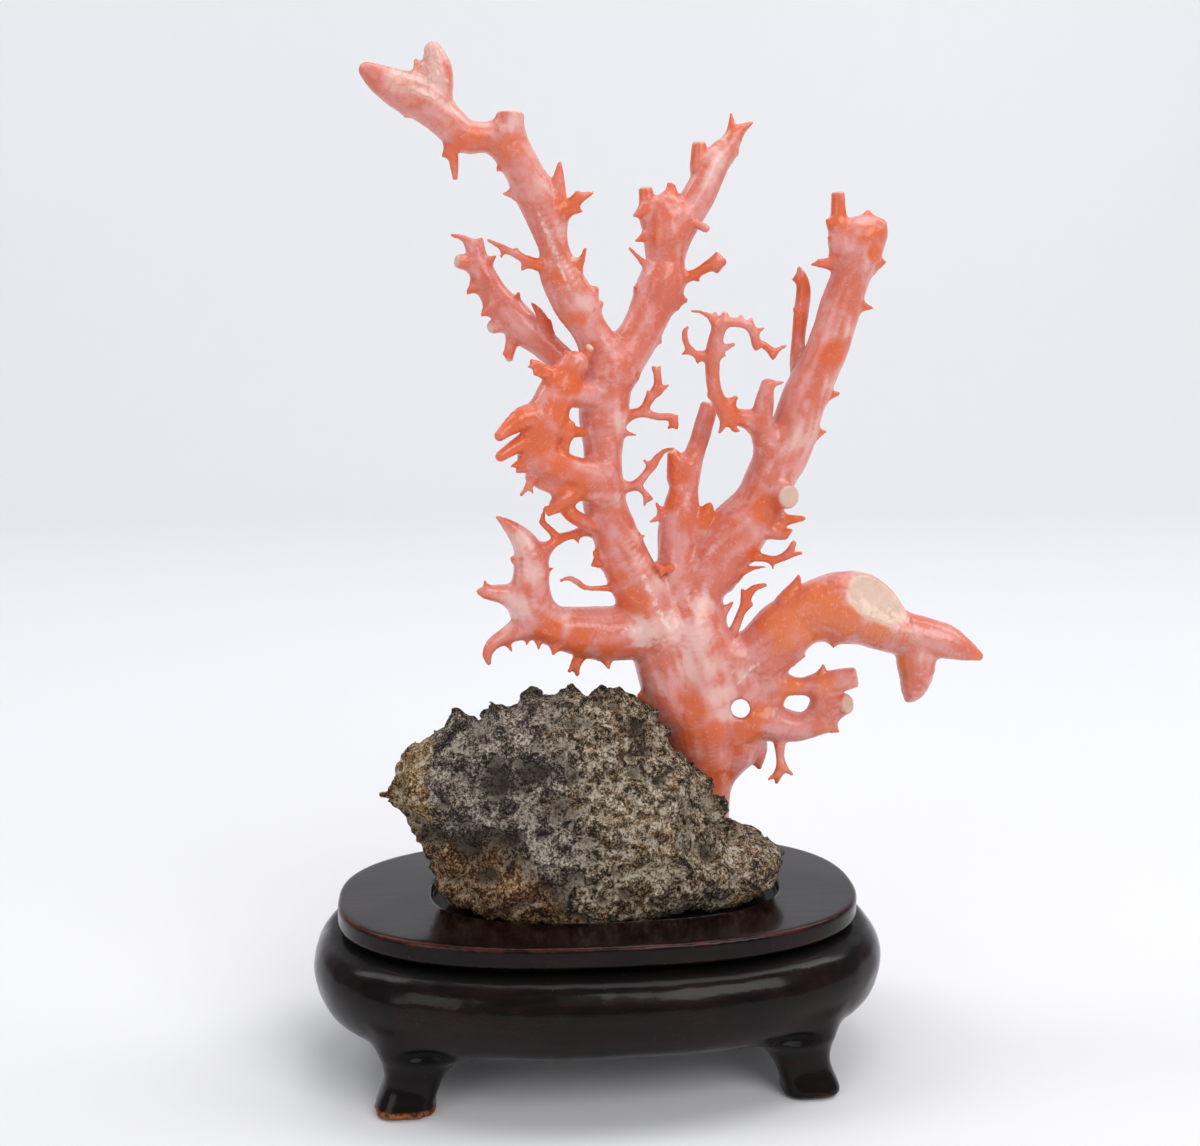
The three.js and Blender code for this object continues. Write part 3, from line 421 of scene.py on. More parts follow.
# Pale patches, partly the coral's own pale marbling and partly painted sheen where the broad reflection of
# the light lies along the stems: (x, z, radius, strength).
PALE_AND_SHEEN_PATCHES = [
    (27, 112, 6, 0.7), (32, 105, 5, 0.8), (24, 103, 5, 0.6), (33, 97, 4.5, 0.9), (20, 114, 4, 0.7),
    (29, 120, 4, 0.6), (35, 91, 3.5, 0.9), (16, 98, 4, 0.6), (26, 80, 3.5, 0.4), (12, 114, 4, 1.0),
    (38, 101, 4, 0.7), (-21, 122, 5, 0.9), (-18, 130, 5, 0.7), (-20, 138, 4, 0.8), (-14, 119, 4, 0.5),
    (-24, 116, 4, 0.6), (-8, 118, 3, 0.6), (7, 160, 3.5, 0.5), (6, 148, 3.5, 0.5), (6, 170, 3.5, 0.6),
    (10, 140, 3, 0.5), (13, 133, 3, 0.7), (17, 126, 3, 0.6), (-6, 208, 4, 0.8), (-2, 200, 4, 0.7),
    (-9, 216, 4, 0.6), (-12, 228, 4, 0.6), (-18, 236, 4, 0.5), (-21, 243, 3.5, 0.7), (-42, 252, 6, 0.8),
    (-40, 259, 4, 0.8), (-48, 254, 5, 0.5), (-38, 247, 4, 0.5), (32, 236, 4, 0.8), (30, 231, 4, 0.6),
    (34, 242, 3, 0.7), (58, 170, 5, 0.6), (62, 178, 5, 0.6), (54, 162, 5, 0.5), (66, 192, 4, 0.5),
    (51, 150, 3.5, 0.6), (73, 122, 6, 1.1), (79, 117, 5, 1.1), (84, 112, 4, 0.7), (88, 106, 3, 0.5),
    (60, 108, 4, 0.5), (82, 108, 3, 0.6), (57, 86, 4, 0.4),
]
# Where a net of fine tan cracks shows: (x, z, radius, strength).
CRACKED_PATCHES = [
    (-44, 252, 8, 1.0), (-40, 259, 5, 0.8), (78, 115, 7, 1.0), (84, 111, 5, 0.8),
]
# Painted highlights: thin bright lines painted along the branches where the light catches them: (x, z) of
# both ends, and the half width.
PAINTED_HIGHLIGHT_STREAKS = [
    ((-14, 221), (-10.5, 211), 1.0), ((-10.5, 212), (-6.5, 202), 0.7), ((12, 129), (15, 122), 1.0),
    ((16.5, 120), (19, 115), 1.1), ((6, 114.5), (12, 115), 1.0), ((38, 99), (43, 104), 0.6),
    ((-37, 252), (-40, 258), 0.6),
]

# ---------------------------------------------------------------- noise

TURN = np.array([[0.36, 0.48, -0.8], [-0.8, 0.6, 0.0], [0.48, 0.64, 0.6]])


def hashed(cells, seed):
    """A random number from 0 to 1 for each whole-numbered cell."""
    wrap = 0xFFFFFFFF
    x, y, z = (cells[..., i].astype(np.int64) & wrap for i in range(3))
    mixed = (x * 73856093 ^ y * 19349663 ^ z * 83492791 ^ (seed + 1) * 40503) & wrap
    for shift in (15, 13):
        mixed = ((mixed ^ (mixed >> shift)) * 0x45D9F3B) & wrap
    return ((mixed ^ (mixed >> 16)) & wrap) / wrap


def noise(points, size, seed):
    """Smooth noise from -1 to 1, whose lumps are about size across."""
    scaled = points @ TURN / size
    cell = np.floor(scaled)
    part = scaled - cell
    part = part**3 * (part * (part * 6 - 15) + 10)
    total = np.zeros(len(points))
    for corner in np.ndindex(2, 2, 2):
        weight = np.prod(np.where(corner, part, 1 - part), axis=-1)
        total += weight * hashed(cell + corner, seed)
    return 2 * total - 1


def grains(points, size, seed):
    """Gaps to the nearest and the second nearest of random grains, and the nearest one's number."""
    scaled = points @ TURN / size
    cell = np.floor(scaled)
    near = np.full(len(points), 9.0)
    second = near.copy()
    number = np.zeros(len(points))
    for step in np.ndindex(3, 3, 3):
        other = cell + step - 1
        grain = other + np.stack([hashed(other, seed + axis) for axis in range(3)], axis=-1)
        gap = np.linalg.norm(scaled - grain, axis=-1)
        closer = gap < near
        second = np.where(closer, near, np.minimum(second, gap))
        near = np.where(closer, gap, near)
        number = np.where(closer, hashed(other, seed + 3), number)
    return near, second, number


def smooth_step(low, high, values):
    """0 where values are at low or past it, 1 at high or past it, and a smooth ramp between."""
    part = np.clip((values - low) / (high - low), 0, 1)
    return part * part * (3 - 2 * part)


def soft_min(a, b, width):
    """The lower of two distances, with a fillet about as wide as width where they meet."""
    near = np.maximum(width - np.abs(a - b), 0) / width
    return np.minimum(a, b) - near * near * width / 4


def smooth_curve(knots, spacing):
    """A smooth curve through knots of any dimension, with a point about every spacing."""
    knots = np.array(knots, float)
    padded = np.vstack([2 * knots[0] - knots[1], knots, 2 * knots[-1] - knots[-2]])
    curve = []
    for before, start, end, after in zip(padded, padded[1:], padded[2:], padded[3:]):
        steps = max(1, round(np.linalg.norm(end - start) / spacing))
        for t in np.arange(steps) / steps:
            bend = (
                2 * start
                + (end - before) * t
                + (2 * before - 5 * start + 4 * end - after) * t**2
                + (3 * start - before - 3 * end + after) * t**3
            )
            curve.append(bend / 2)
    return np.array(curve + [knots[-1]])


# ---------------------------------------------------------------- fields and their surfaces

FAR = 12.0  # the distance given to cells that no shape has reached


class Field:
    """Distances to a surface on a lattice of cubic cells, in mm, negative inside it."""

    def __init__(self, low, high, cell):
        self.cell = cell
        self.first = np.floor(np.asarray(low) / cell).astype(int)
        last = np.ceil(np.asarray(high) / cell).astype(int)
        self.values = np.full(last - self.first + 1, FAR, np.float32)

    def window(self, low, high):
        """The slices of the lattice inside a box, and the points there."""
        size = self.values.shape
        start = np.clip(np.floor(np.asarray(low) / self.cell).astype(int) - self.first, 0, size)
        stop = np.clip(np.ceil(np.asarray(high) / self.cell).astype(int) - self.first + 1, 0, size)
        axes = [(self.first[i] + np.arange(start[i], stop[i])) * self.cell for i in range(3)]
        return tuple(map(slice, start, stop)), np.stack(np.meshgrid(*axes, indexing="ij"), axis=-1)

    def near(self, reach):
        """The cells within a reach of the surface, as flat indices, and their points."""
        cells = np.flatnonzero(np.abs(self.values) < reach)
        places = np.stack(np.unravel_index(cells, self.values.shape), axis=-1)
        return cells, (places + self.first) * self.cell

    def merge(self, other, fillet):
        """Joins another field on the same lattice to this one."""
        start = other.first - self.first
        where = tuple(slice(a, a + n) for a, n in zip(start, other.values.shape))
        self.values[where] = soft_min(self.values[where], other.values, fillet)

    def surface(self):
        """The surface's points and its quads, which face out."""
        band = 3 * self.cell
        grid = openvdb.FloatGrid(band)
        grid.copyFromArray(np.clip(self.values, -band, band))
        points, triangles, quads = grid.convertToPolygons(0, 0)
        if len(triangles):
            raise ValueError("the surface has triangles, and only quads are read")
        return (points + self.first) * self.cell, quads[:, ::-1].astype(int)


def point_normals(points, quads):
    """Unit normals of a closed surface at its points."""
    corners = points[quads]
    across = np.cross(corners[:, 2] - corners[:, 0], corners[:, 3] - corners[:, 1])
    total = np.zeros_like(points)
    for i in range(4):
        np.add.at(total, quads[:, i], across)
    return total / np.maximum(np.linalg.norm(total, axis=1, keepdims=True), 1e-12)


def smoothed(points, links, share):
    """Draws each point a share of the way to the middle of its neighbours."""
    at, neighbour = links.T
    counts = np.bincount(at, minlength=len(points))[:, None]
    sums = [np.bincount(at, points[neighbour, axis], len(points)) for axis in range(3)]
    return points + share * (np.stack(sums, axis=1) / np.maximum(counts, 1) - points)


def sides(quads):
    """The sides of the quads, as pairs of point numbers."""
    return np.concatenate([quads[:, [i, (i + 1) % 4]] for i in range(4)])


def levelled(points, quads, rounds):
    """A surface's points after rounds of smoothing."""
    links = sides(quads)
    for _ in range(rounds):
        points = smoothed(points, links, 0.7)
    return points


def relief(points, quads, rounds):
    """How far each point stands out of the surface around it."""
    level = levelled(points, quads, rounds)
    return np.einsum("ij,ij->i", points - level, point_normals(level, quads))


def blunted(points, quads, rounds, limit):
    """Draws in the points that stand out of the surface around them by more than a limit."""
    level = levelled(points, quads, rounds)
    share = limit / np.maximum(relief(points, quads, rounds), limit)
    return level + (points - level) * share[:, None]


def relaxed(points, quads, rounds):
    """Evens out a surface's points without shrinking it: each round smooths, then swells back."""
    links = sides(quads)
    for share in (0.5, -0.52) * rounds:
        points = smoothed(points, links, share)
    return points


def connected(links, count):
    """For each of count things, the lowest number that it reaches through links."""
    group = np.arange(count)
    while True:
        before = group.copy()
        lowest = np.minimum(group[links[:, 0]], group[links[:, 1]])
        np.minimum.at(group, links[:, 0], lowest)
        np.minimum.at(group, links[:, 1], lowest)
        group = group[group]
        if np.array_equal(group, before):
            return group


def largest_shell(points, quads):
    """The points and quads of the biggest connected part of a surface."""
    group = connected(sides(quads), len(points))
    kept = group == np.bincount(group).argmax()
    renumbered = np.cumsum(kept) - 1
    return points[kept], renumbered[quads[kept[quads[:, 0]]]]


def mesh_object(name, points, polygons, normals, layers, material, node):
    """A piece that stands for a CAD node, with per-point layers for its material to read."""
    mesh = bpy.data.meshes.new(name)
    mesh.from_pydata(in_row(points).tolist(), [], polygons)
    for layer, values in layers.items():
        attribute = mesh.attributes.new(layer, "FLOAT", "POINT")
        attribute.data.foreach_set("value", np.asarray(values, np.float32))
    mesh.shade_smooth()
    mesh.normals_split_custom_set_from_vertices(normals.tolist())
    mesh.materials.append(material)
    piece = bpy.data.objects.new(name, mesh)
    bpy.context.scene.collection.objects.link(piece)
    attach(piece, "root")
    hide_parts(node)


# ---------------------------------------------------------------- the coral's surface

CORAL_CELL = 0.5
RING_SPACING = 1.6
THINNEST = 0.42  # the least radius of a limb
REACH = 3.0  # how far past a limb's surface its distances are worked out
STUB_EDGE = 0.7  # the rounding of a stub's cut edge
FAN_RISE = 0.4  # how far the middle of a piece's filled end bulges


def rings_of(stations):
    """A limb's stations joined by a smooth curve: closer rings of (x, y, z, radius)."""
    rings = smooth_curve(stations, RING_SPACING)
    rings[:, 3] = np.maximum(rings[:, 3], THINNEST)
    return rings


class Limb:
    """One limb, stub or thorn of the coral."""

    def __init__(self, piece, kind, stations):
        self.piece = piece
        self.kind = kind
        self.rings = rings_of(stations)
        steps = np.linalg.norm(np.diff(self.rings[:, :3], axis=0), axis=1)
        self.lengths = np.concatenate([[0], np.cumsum(steps)])
        self.end = self.rings[-1, :3]
        ahead = self.rings[-1, :3] - self.rings[-2, :3]
        self.ahead = ahead / np.linalg.norm(ahead)
        thickest = self.rings[:, 3].max()
        self.fillet = min(max(0.4 * thickest, 0.9), 1.8)
        if kind == "thorns":
            self.fillet = 0.8 + 0.5 * thickest

    def box(self, margin):
        around = self.rings[:, 3:] + margin
        return (self.rings[:, :3] - around).min(axis=0), (self.rings[:, :3] + around).max(axis=0)

    def segments(self):
        return zip(self.rings[:-1], self.rings[1:], self.lengths[:-1], self.lengths[1:])

    def field(self):
        """The limb alone, as a field just large enough for it."""
        margin = REACH + self.fillet
        own = Field(*self.box(margin), CORAL_CELL)
        for start, end, _, _ in self.segments():
            low = np.minimum(start[:3] - start[3], end[:3] - end[3]) - margin
            high = np.maximum(start[:3] + start[3], end[:3] + end[3]) + margin
            where, points = own.window(low, high)
            gap = segment_gap(points, start, end)[0]
            own.values[where] = np.minimum(own.values[where], gap)
        if self.kind == "stubs":
            where, points = own.window(*self.box(margin))
            past = (points - self.end) @ self.ahead
            own.values[where] = -soft_min(-own.values[where], -past, STUB_EDGE)
        return own


def segment_gap(points, start, end):
    """Distances from points to a round cone between two rings, and how far along each is."""
    along = end[:3] - start[:3]
    t = np.clip((points - start[:3]) @ along / max(along @ along, 1e-9), 0, 1)
    away = np.linalg.norm(points - start[:3] - t[..., None] * along, axis=-1)
    return away - start[3] - t * (end[3] - start[3]), t


LIMBS = [
    Limb(piece, kind, stations)
    for piece, kinds in enumerate(CORAL.values())
    for kind in ("limbs", "stubs", "thorns")
    for stations in kinds.get(kind, [])
]

# The see-through hole beside the trunk, as a round cone from (x, y, z, radius) to the same.
HOLE_START = np.array([36.7, -6.2, 94.6, 1.9])
HOLE_END = np.array([43.1, 27.2, 85.9, 3.6])
HOLE_EDGE = 1.6
HOLE_MARGIN = 7.5  # how far round the hole the coral is all one piece, the trunk
# The face sawn across the claw's knuckle: its middle, the way it faces, and its slight curve.
SAWN = {"middle": (72.6, 3.6, 121.9), "facing": (0.42, -0.74, 0.53), "radius": 40.0}
SAWN_EDGE = 0.8
SAWN_REACH = 10.0  # no part of the sawn face is further than this from its middle


def hole_gap(points):
    """Distances to the hole beside the trunk, negative inside it."""
    return segment_gap(points, HOLE_START, HOLE_END)[0]


def sawn_gap(points):
    """Distances to the large ball that the claw's knuckle is sawn by."""
    facing = np.array(SAWN["facing"])
    centre = np.array(SAWN["middle"]) + SAWN["radius"] * facing / np.linalg.norm(facing)
    return np.linalg.norm(points - centre, axis=-1) - SAWN["radius"]


def coral_surface():
    """The whole coral as one surface: all limbs joined, with the hole and the sawn face cut."""
    low = np.min([limb.box(REACH)[0] for limb in LIMBS], axis=0)
    high = np.max([limb.box(REACH)[1] for limb in LIMBS], axis=0)
    room = 6
    whole = Field(low - room, high + room, CORAL_CELL)
    for limb in LIMBS:
        whole.merge(limb.field(), limb.fillet)
    ends = np.array([HOLE_START[:3], HOLE_END[:3]])
    where, points = whole.window(ends.min(axis=0) - room, ends.max(axis=0) + room)
    whole.values[where] = -soft_min(-whole.values[where], hole_gap(points), HOLE_EDGE)
    middle = np.array(SAWN["middle"])
    where, points = whole.window(middle - SAWN_REACH - 1, middle + SAWN_REACH + 1)
    whole.values[where] = -soft_min(-whole.values[where], sawn_gap(points), SAWN_EDGE)
    points, quads = largest_shell(*whole.surface())
    return relaxed(points, quads, 2), quads


def nearest_limbs(points):
    """For each point: its limb, that limb's piece and radius, the way along it and away from it."""
    found = {
        "gap": np.full(len(points), FAR),
        "limb": np.zeros(len(points), int),
        "radius": np.ones(len(points)),
        "along": np.zeros(len(points)),
        "away": np.zeros((len(points), 3)),
    }
    for number, limb in enumerate(LIMBS):
        low, high = limb.box(REACH)
        inside = np.flatnonzero(np.all((points > low) & (points < high), axis=1))
        for start, end, before, after in limb.segments():
            gap, t = segment_gap(points[inside], start, end)
            closer = gap < found["gap"][inside]
            these, t = inside[closer], t[closer, None]
            found["gap"][these] = gap[closer]
            found["limb"][these] = number
            found["radius"][these] = start[3] + t[:, 0] * (end[3] - start[3])
            found["along"][these] = before + t[:, 0] * (after - before)
            found["away"][these] = points[these] - start[:3] - t * (end[:3] - start[:3])
    return found


def patches(points, spots):
    """How strongly each point lies in any of the soft round spots."""
    total = np.zeros(len(points))
    for x, z, radius, strength in spots:
        away = np.hypot(points[:, 0] - x, points[:, 2] - z)
        total = np.maximum(total, strength * np.exp(-((away / radius) ** 2)))
    return total


def painted_highlight_streaks(points):
    """How strongly each point lies in any of the thin painted highlight lines, which waver a little."""
    total = np.zeros(len(points))
    sway = np.stack([noise(points, 4, 51), np.zeros(len(points)), noise(points, 4, 52)], axis=1)
    wavy = points * (1, 0, 1) + 1.3 * sway
    for (x0, z0), (x1, z1), width in PAINTED_HIGHLIGHT_STREAKS:
        away = segment_gap(wavy, np.array([x0, 0, z0, 0.0]), np.array([x1, 0, z1, 0.0]))[0]
        total = np.maximum(total, np.exp(-((away / width) ** 2)))
    return total


def cut_faces(points):
    """1 on the sawn and broken flats, 0 elsewhere."""
    cut = np.zeros(len(points))
    for number, limb in enumerate(LIMBS):
        if limb.kind != "stubs":
            continue
        radius = limb.rings[-1, 3]
        near = np.linalg.norm(points - limb.end, axis=1) < radius + 0.6
        depth = np.abs((points - limb.end) @ limb.ahead)
        cut = np.where(near, np.maximum(cut, 1 - smooth_step(0.15, 0.7, depth)), cut)
    face = 1 - smooth_step(0.1, 0.6, np.abs(sawn_gap(points)))
    face = face * (np.linalg.norm(points - SAWN["middle"], axis=1) < SAWN_REACH)
    return np.maximum(cut, face)


def lengthwise(found, across, along, apart):
    """Points whose noise is drawn out along the limbs, and differs from limb to limb."""
    return found["away"] / across + found["along"][:, None] / along + found["limb"][:, None] * apart


def coral_layers(points, found):
    """The layers that colour the coral, each from 0 to about 1."""
    streak = noise(lengthwise(found, 1.5, 11, 7.3), 1.0, 31)
    slender = 1 - smooth_step(1.2, 3.6, found["radius"])
    front = smooth_step(0.3, -0.4, found["away"][:, 1] / found["radius"])
    cloud = 0.24 * noise(points, 8, 41) + 0.16 * noise(points, 3, 42)
    orange = front * patches(points, ORANGE_PATCHES) + 0.5 * slender + cloud
    milk = 0.25 * noise(points, 5, 43) + 0.2 * noise(points, 12, 44)
    # pale: the coral's pale marbling, and painted sheen from the pale patches
    pale = front * patches(points, PALE_AND_SHEEN_PATCHES) + milk
    return {
        "cut": cut_faces(points),
        "golden": smooth_step(36, 50, points[:, 0]) * smooth_step(136, 118, points[:, 2]),
        "orange": np.clip(orange, 0, 1),
        "pale": np.clip(pale, 0, 1),
        "streak": np.clip(0.5 + 0.5 * streak, 0, 1),
        # bright: the mask of the painted highlight lines, on the front only
        "bright": front * painted_highlight_streaks(points),
        "cracked": front * patches(points, CRACKED_PATCHES),
    }


def grown(points, quads, found):
    """The coral's surface with its lumps, hollows and lengthwise ridges."""
    normals = point_normals(points, quads)
    stout = np.clip(found["radius"] / 6, 0.12, 1)
    ridges = noise(lengthwise(found, 1.7, 14, 5.1), 1.0, 4)
    rise = stout * (
        0.50 * noise(points, 11, 1)
        + 0.20 * noise(points, 5, 2)
        + 0.05 * noise(points, 1.9, 3)
        + 0.13 * ridges
    )
    return points + normals * rise[:, None]


def neighbours(quads):
    """Pairs of quads that share an edge."""
    edges = np.sort(sides(quads), axis=1)
    owner = np.tile(np.arange(len(quads)), 4)
    order = np.lexsort((edges[:, 1], edges[:, 0]))
    edges, owner = edges[order], owner[order]
    same = np.flatnonzero(np.all(edges[1:] == edges[:-1], axis=1))
    return np.stack([owner[same], owner[same + 1]], axis=1)


def tidy_labels(labels, quads):
    """Gives the stray islands of each piece to the piece around them."""
    links = neighbours(quads)
    both_ways = np.concatenate([links, links[:, ::-1]])
    for _ in range(3):
        patch = connected(links[labels[links[:, 0]] == labels[links[:, 1]]], len(quads))
        sizes = np.bincount(patch, minlength=len(quads))[patch]
        biggest = np.zeros(labels.max() + 1, int)
        np.maximum.at(biggest, labels, sizes)
        stray = sizes < biggest[labels]
        across = both_ways[stray[both_ways[:, 0]] & ~stray[both_ways[:, 1]]]
        taken = np.full(len(quads), -1)
        taken[patch[across[:, 0]]] = labels[across[:, 1]]
        labels = np.where(stray & (taken[patch] >= 0), taken[patch], labels)
    return labels


def open_rims(quads, count):
    """The rings of points round a patch's open ends, each in the order that its quads run."""
    edges = sides(quads)
    forward = edges[:, 0] * count + edges[:, 1]
    backward = edges[:, 1] * count + edges[:, 0]
    onward = {}
    for start, end in edges[~np.isin(forward, backward)].tolist():
        onward.setdefault(start, []).append(end)
    while onward:
        at = first = next(iter(onward))
        ring = []
        while not ring or at != first:
            ring.append(at)
            following = onward[at].pop()
            if not onward[at]:
                del onward[at]
            at = following
        yield ring


def closed_piece(points, normals, quads):
    """A patch of a larger surface as a closed mesh: each open end is filled by a shallow fan."""
    used, local = np.unique(quads, return_inverse=True)
    local = local.reshape(quads.shape)
    points, normals = points[used], normals[used]
    polygons = local.tolist()
    hubs = []
    for ring in open_rims(local, len(used)):
        rim = points[ring]
        spokes = rim - rim.mean(axis=0)
        facing = np.cross(spokes, np.roll(spokes, -1, axis=0)).sum(axis=0)
        facing /= max(np.linalg.norm(facing), 1e-9)
        hub = len(used) + len(hubs)
        hubs.append(rim.mean(axis=0) + FAN_RISE * facing)
        polygons += [[b, a, hub] for a, b in zip(ring, ring[1:] + ring[:1])]
    hubs = np.array(hubs).reshape(-1, 3)
    upward = np.tile([0, 0, 1.0], (len(hubs), 1))
    return used, np.vstack([points, hubs]), np.vstack([normals, upward]), polygons


def build_coral(material):
    points, quads = coral_surface()
    found = nearest_limbs(points)
    pieces = np.array([limb.piece for limb in LIMBS])
    middles = points[quads].mean(axis=1)
    labels = tidy_labels(pieces[nearest_limbs(middles)["limb"]], quads)
    labels[hole_gap(middles) < HOLE_MARGIN] = 0
    layers = coral_layers(points, found)
    points = grown(points, quads, found)
    normals = point_normals(points, quads)
    for number, node in enumerate(CORAL):
        used, own, facing, polygons = closed_piece(points, normals, quads[labels == number])
        spare = len(own) - len(used)
        own_layers = {
            layer: np.append(values[used], np.zeros(spare)) for layer, values in layers.items()
        }
        name = node.replace("coral_", "branch_")
        mesh_object(name, own, polygons, facing, own_layers, material, node)


# ---------------------------------------------------------------- the rock's surface

ROCK_CELL = 0.6
ROCK_BAND = 7.0  # how far from the CAD rock's surface its distances are known
ROCK_SMOOTHING = 5
ROUGH_REACH = 4  # how far from the skin the roughness is worked out
MOST_SUNK, MOST_RAISED = 3.5, 2.2  # the limits of the roughness
KNOB_HEIGHT = 1.1  # what stands further out of the rock around it is drawn in
LUMP_FILLET = 3.5
PIT_COUNT = 420
# Deep pits in the rock's front: (x, z, radius).
PITS = [
    (7, 92.5, 2.6), (10, 87.5, 3.0), (-8.8, 82, 2.2), (-28, 79.5, 2.4), (-12, 50.5, 2.4), (-1.5, 48.5, 2.0),
    (19, 62.5, 1.8), (27, 49, 2.2), (-30.5, 54, 2.4), (-16, 54, 2.6), (-16, 88, 2.0), (-36, 62, 2.2),
    (3, 88, 1.6), (-4, 66, 1.8), (15, 72, 1.7), (-41, 74, 1.8), (34, 51, 1.8), (2, 56, 1.6), (-22, 66, 1.8),
]
# Knobs along the rock's outline, and one on its front: (x, y, z, radius).
LUMPS = [
    (-46, -4, 82, 5.5), (-37, -3, 91, 4), (-25, -2, 92, 5), (-17, -1, 95, 4), (-6, 0, 96, 4.5),
    (1, 0, 96, 4), (8, 1, 94, 4.5), (15, 0, 87, 4), (19, -2, 80, 4), (26, -2, 72, 3.5), (31, -3, 65, 3.5),
    (43, -3, 50, 4), (-51, -4, 76, 5), (-25, -19, 73, 2.6),
]


def rock_base():
    """The CAD rock as a field, with its facets smoothed away."""
    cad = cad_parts["rock"].data
    points = from_row([vertex.co for vertex in cad.vertices]).astype(np.float32)
    triangles = np.array([polygon.vertices[:] for polygon in cad.polygons], np.uint32)
    base = Field(points.min(axis=0) - ROCK_BAND, points.max(axis=0) + ROCK_BAND, ROCK_CELL)
    shape = openvdb.FloatGrid.createLevelSetFromPolygons(
        points,
        triangles=triangles,
        transform=openvdb.createLinearTransform(ROCK_CELL),
        halfWidth=ROCK_BAND / ROCK_CELL,
    )
    shape.copyToArray(base.values, ijk=tuple(int(i) for i in base.first))
    for _ in range(ROCK_SMOOTHING):
        for axis in range(3):
            ahead, behind = np.roll(base.values, 1, axis), np.roll(base.values, -1, axis)
            base.values = (2 * base.values + ahead + behind) / 4
    return base


def add_ball(field, centre, radius, fillet, sign=1):
    """Joins an uneven ball to a field, or with sign -1 takes it away."""
    centre = np.array(centre, float)
    margin = radius + fillet + 1
    where, points = field.window(centre - margin, centre + margin)
    ball = np.linalg.norm(points - centre, axis=-1) - radius
    ball += 0.25 * radius * noise(points.reshape(-1, 3), radius, 79).reshape(ball.shape)
    field.values[where] = sign * soft_min(sign * field.values[where], ball, fillet)


def rock_zones(points):
    """Where the rock is ochre, orange-brown, smooth and dark, or grainy: each from 0 to 1."""
    x, y, z = points.T
    wander = 4 * noise(points, 12, 61) + 3.5 * noise(points, 5, 62) + 2 * noise(points, 2, 63)
    rim = smooth_step(-43, -46, x + 0.6 * wander) * smooth_step(60, 66, z + wander)
    corner = smooth_step(30, 36, x + wander) * smooth_step(52, 47, z + 0.6 * wander)
    line = np.minimum(62 - 0.28 * (x + 25), 62 - 0.97 * (x + 25))
    foot = smooth_step(3, -2, z - line + wander) * smooth_step(2, -6, x + wander)
    dark = smooth_step(4, -22, x + 2 * wander) * (1 - rim) * (1 - foot)
    away = (z - line + 0.5 * wander) / 2.2
    return {
        "crevice": np.exp(-away * away) * smooth_step(2, -6, x),
        "ochre": np.clip(rim + corner, 0, 1),
        "brown": foot * (1 - rim),
        "dark": dark,
        "grainy": 1 - 0.45 * dark - 0.2 * foot,
    }


def pit_rock(rock):
    """Sinks many small pits at random places, and the deeper ones of PITS."""
    skin = rock.near(0.5)[1]
    chance = np.random.default_rng(7)
    for centre in skin[chance.choice(len(skin), PIT_COUNT, replace=False)]:
        add_ball(rock, centre, 0.8 + 1.3 * chance.random() ** 3, 0.5, -1)
    for x, z, radius in PITS:
        column = skin[np.hypot(skin[:, 0] - x, skin[:, 2] - z) < 1.5]
        add_ball(rock, (x, column[:, 1].min() + 0.4 * radius, z), radius, 0.8, -1)


def rock_surface():
    """The rock's points and quads, and how far each point is from the CAD rock's smooth skin."""
    base = rock_base()
    rock = copy.deepcopy(base)
    for x, y, z, radius in LUMPS:
        add_ball(rock, (x, y, z), radius, LUMP_FILLET)
    pit_rock(rock)
    near, points = rock.near(ROUGH_REACH)
    zones = rock_zones(points)
    clod = grains(points, 8.5, 71)[0]
    grain = grains(points, 2.1, 72)[0]
    ledges = np.abs(noise(points * (0.7, 1, 1.5), 9, 77))
    gritty = 1.0 * (0.5 - grain) + 0.8 * noise(points, 2.0, 75) + 0.35 * noise(points, 1.3, 78)
    rise = (
        2.2 * noise(points, 16, 73)
        + 2.3 * (0.3 - ledges)
        + 1.7 * (0.5 - clod)
        + 1.3 * noise(points, 3.6, 76)
        - 1.6 * zones["crevice"]
        + zones["grainy"] * gritty
    )
    rock.values.reshape(-1)[near] -= np.clip(rise, -MOST_SUNK, MOST_RAISED)
    points, quads = largest_shell(*rock.surface())
    points = blunted(points, quads, 10, KNOB_HEIGHT)
    places = np.round(points / base.cell).astype(int) - base.first
    depth = base.values[tuple(places.T)]
    return points, quads, depth


def build_rock(material):
    points, quads, depth = rock_surface()
    zones = rock_zones(points)
    layers = {
        "grain": grains(points, 2.1, 72)[2],
        # hollow: painted shade, darkest where the surface lies deep under the CAD rock's smooth skin and
        # along the crevice under the ledge
        "hollow": np.maximum(smooth_step(-0.6, -3.6, depth), 0.6 * zones["crevice"]),
        # raised and proud: how far each point stands out; they lighten the colour as painted light on
        # raised places and painted shade in low ones
        "raised": smooth_step(-0.5, 0.5, relief(points, quads, 10)),
        "proud": smooth_step(-1.4, 1.4, relief(points, quads, 60)),
        **zones,
    }
    normals = point_normals(points, quads)
    mesh_object("rock_surface", points, quads.tolist(), normals, layers, material, "rock")


# ---------------------------------------------------------------- the stand's surfaces

STAND_CELL = 0.7
OUTLINE_POWER = 2.475
DEEP = 90.0  # further inside the outline than any point
PLATE = {"half_width": 69, "half_depth": 41.4, "bottom": 39.2, "top": 45, "edge": 1.2}
SEAT = {"x": 2, "y": 1, "half_width": 46.5, "half_depth": 26, "depth": 2.4}
BASE = {"half_width": 75.5, "half_depth": 47, "top": 38.9, "waist": 10.5, "shoulder": 37.4, "hollow": 18.5}
# The apron's outer face from its lower edge up: inset from the widest outline, and height.
APRON = [(6.4, 15.5), (3.4, 18.1), (1.2, 22), (0, 28), (0.9, 32.4), (3.2, 35.6), (6.5, 37.2), (8.5, 37.4)]
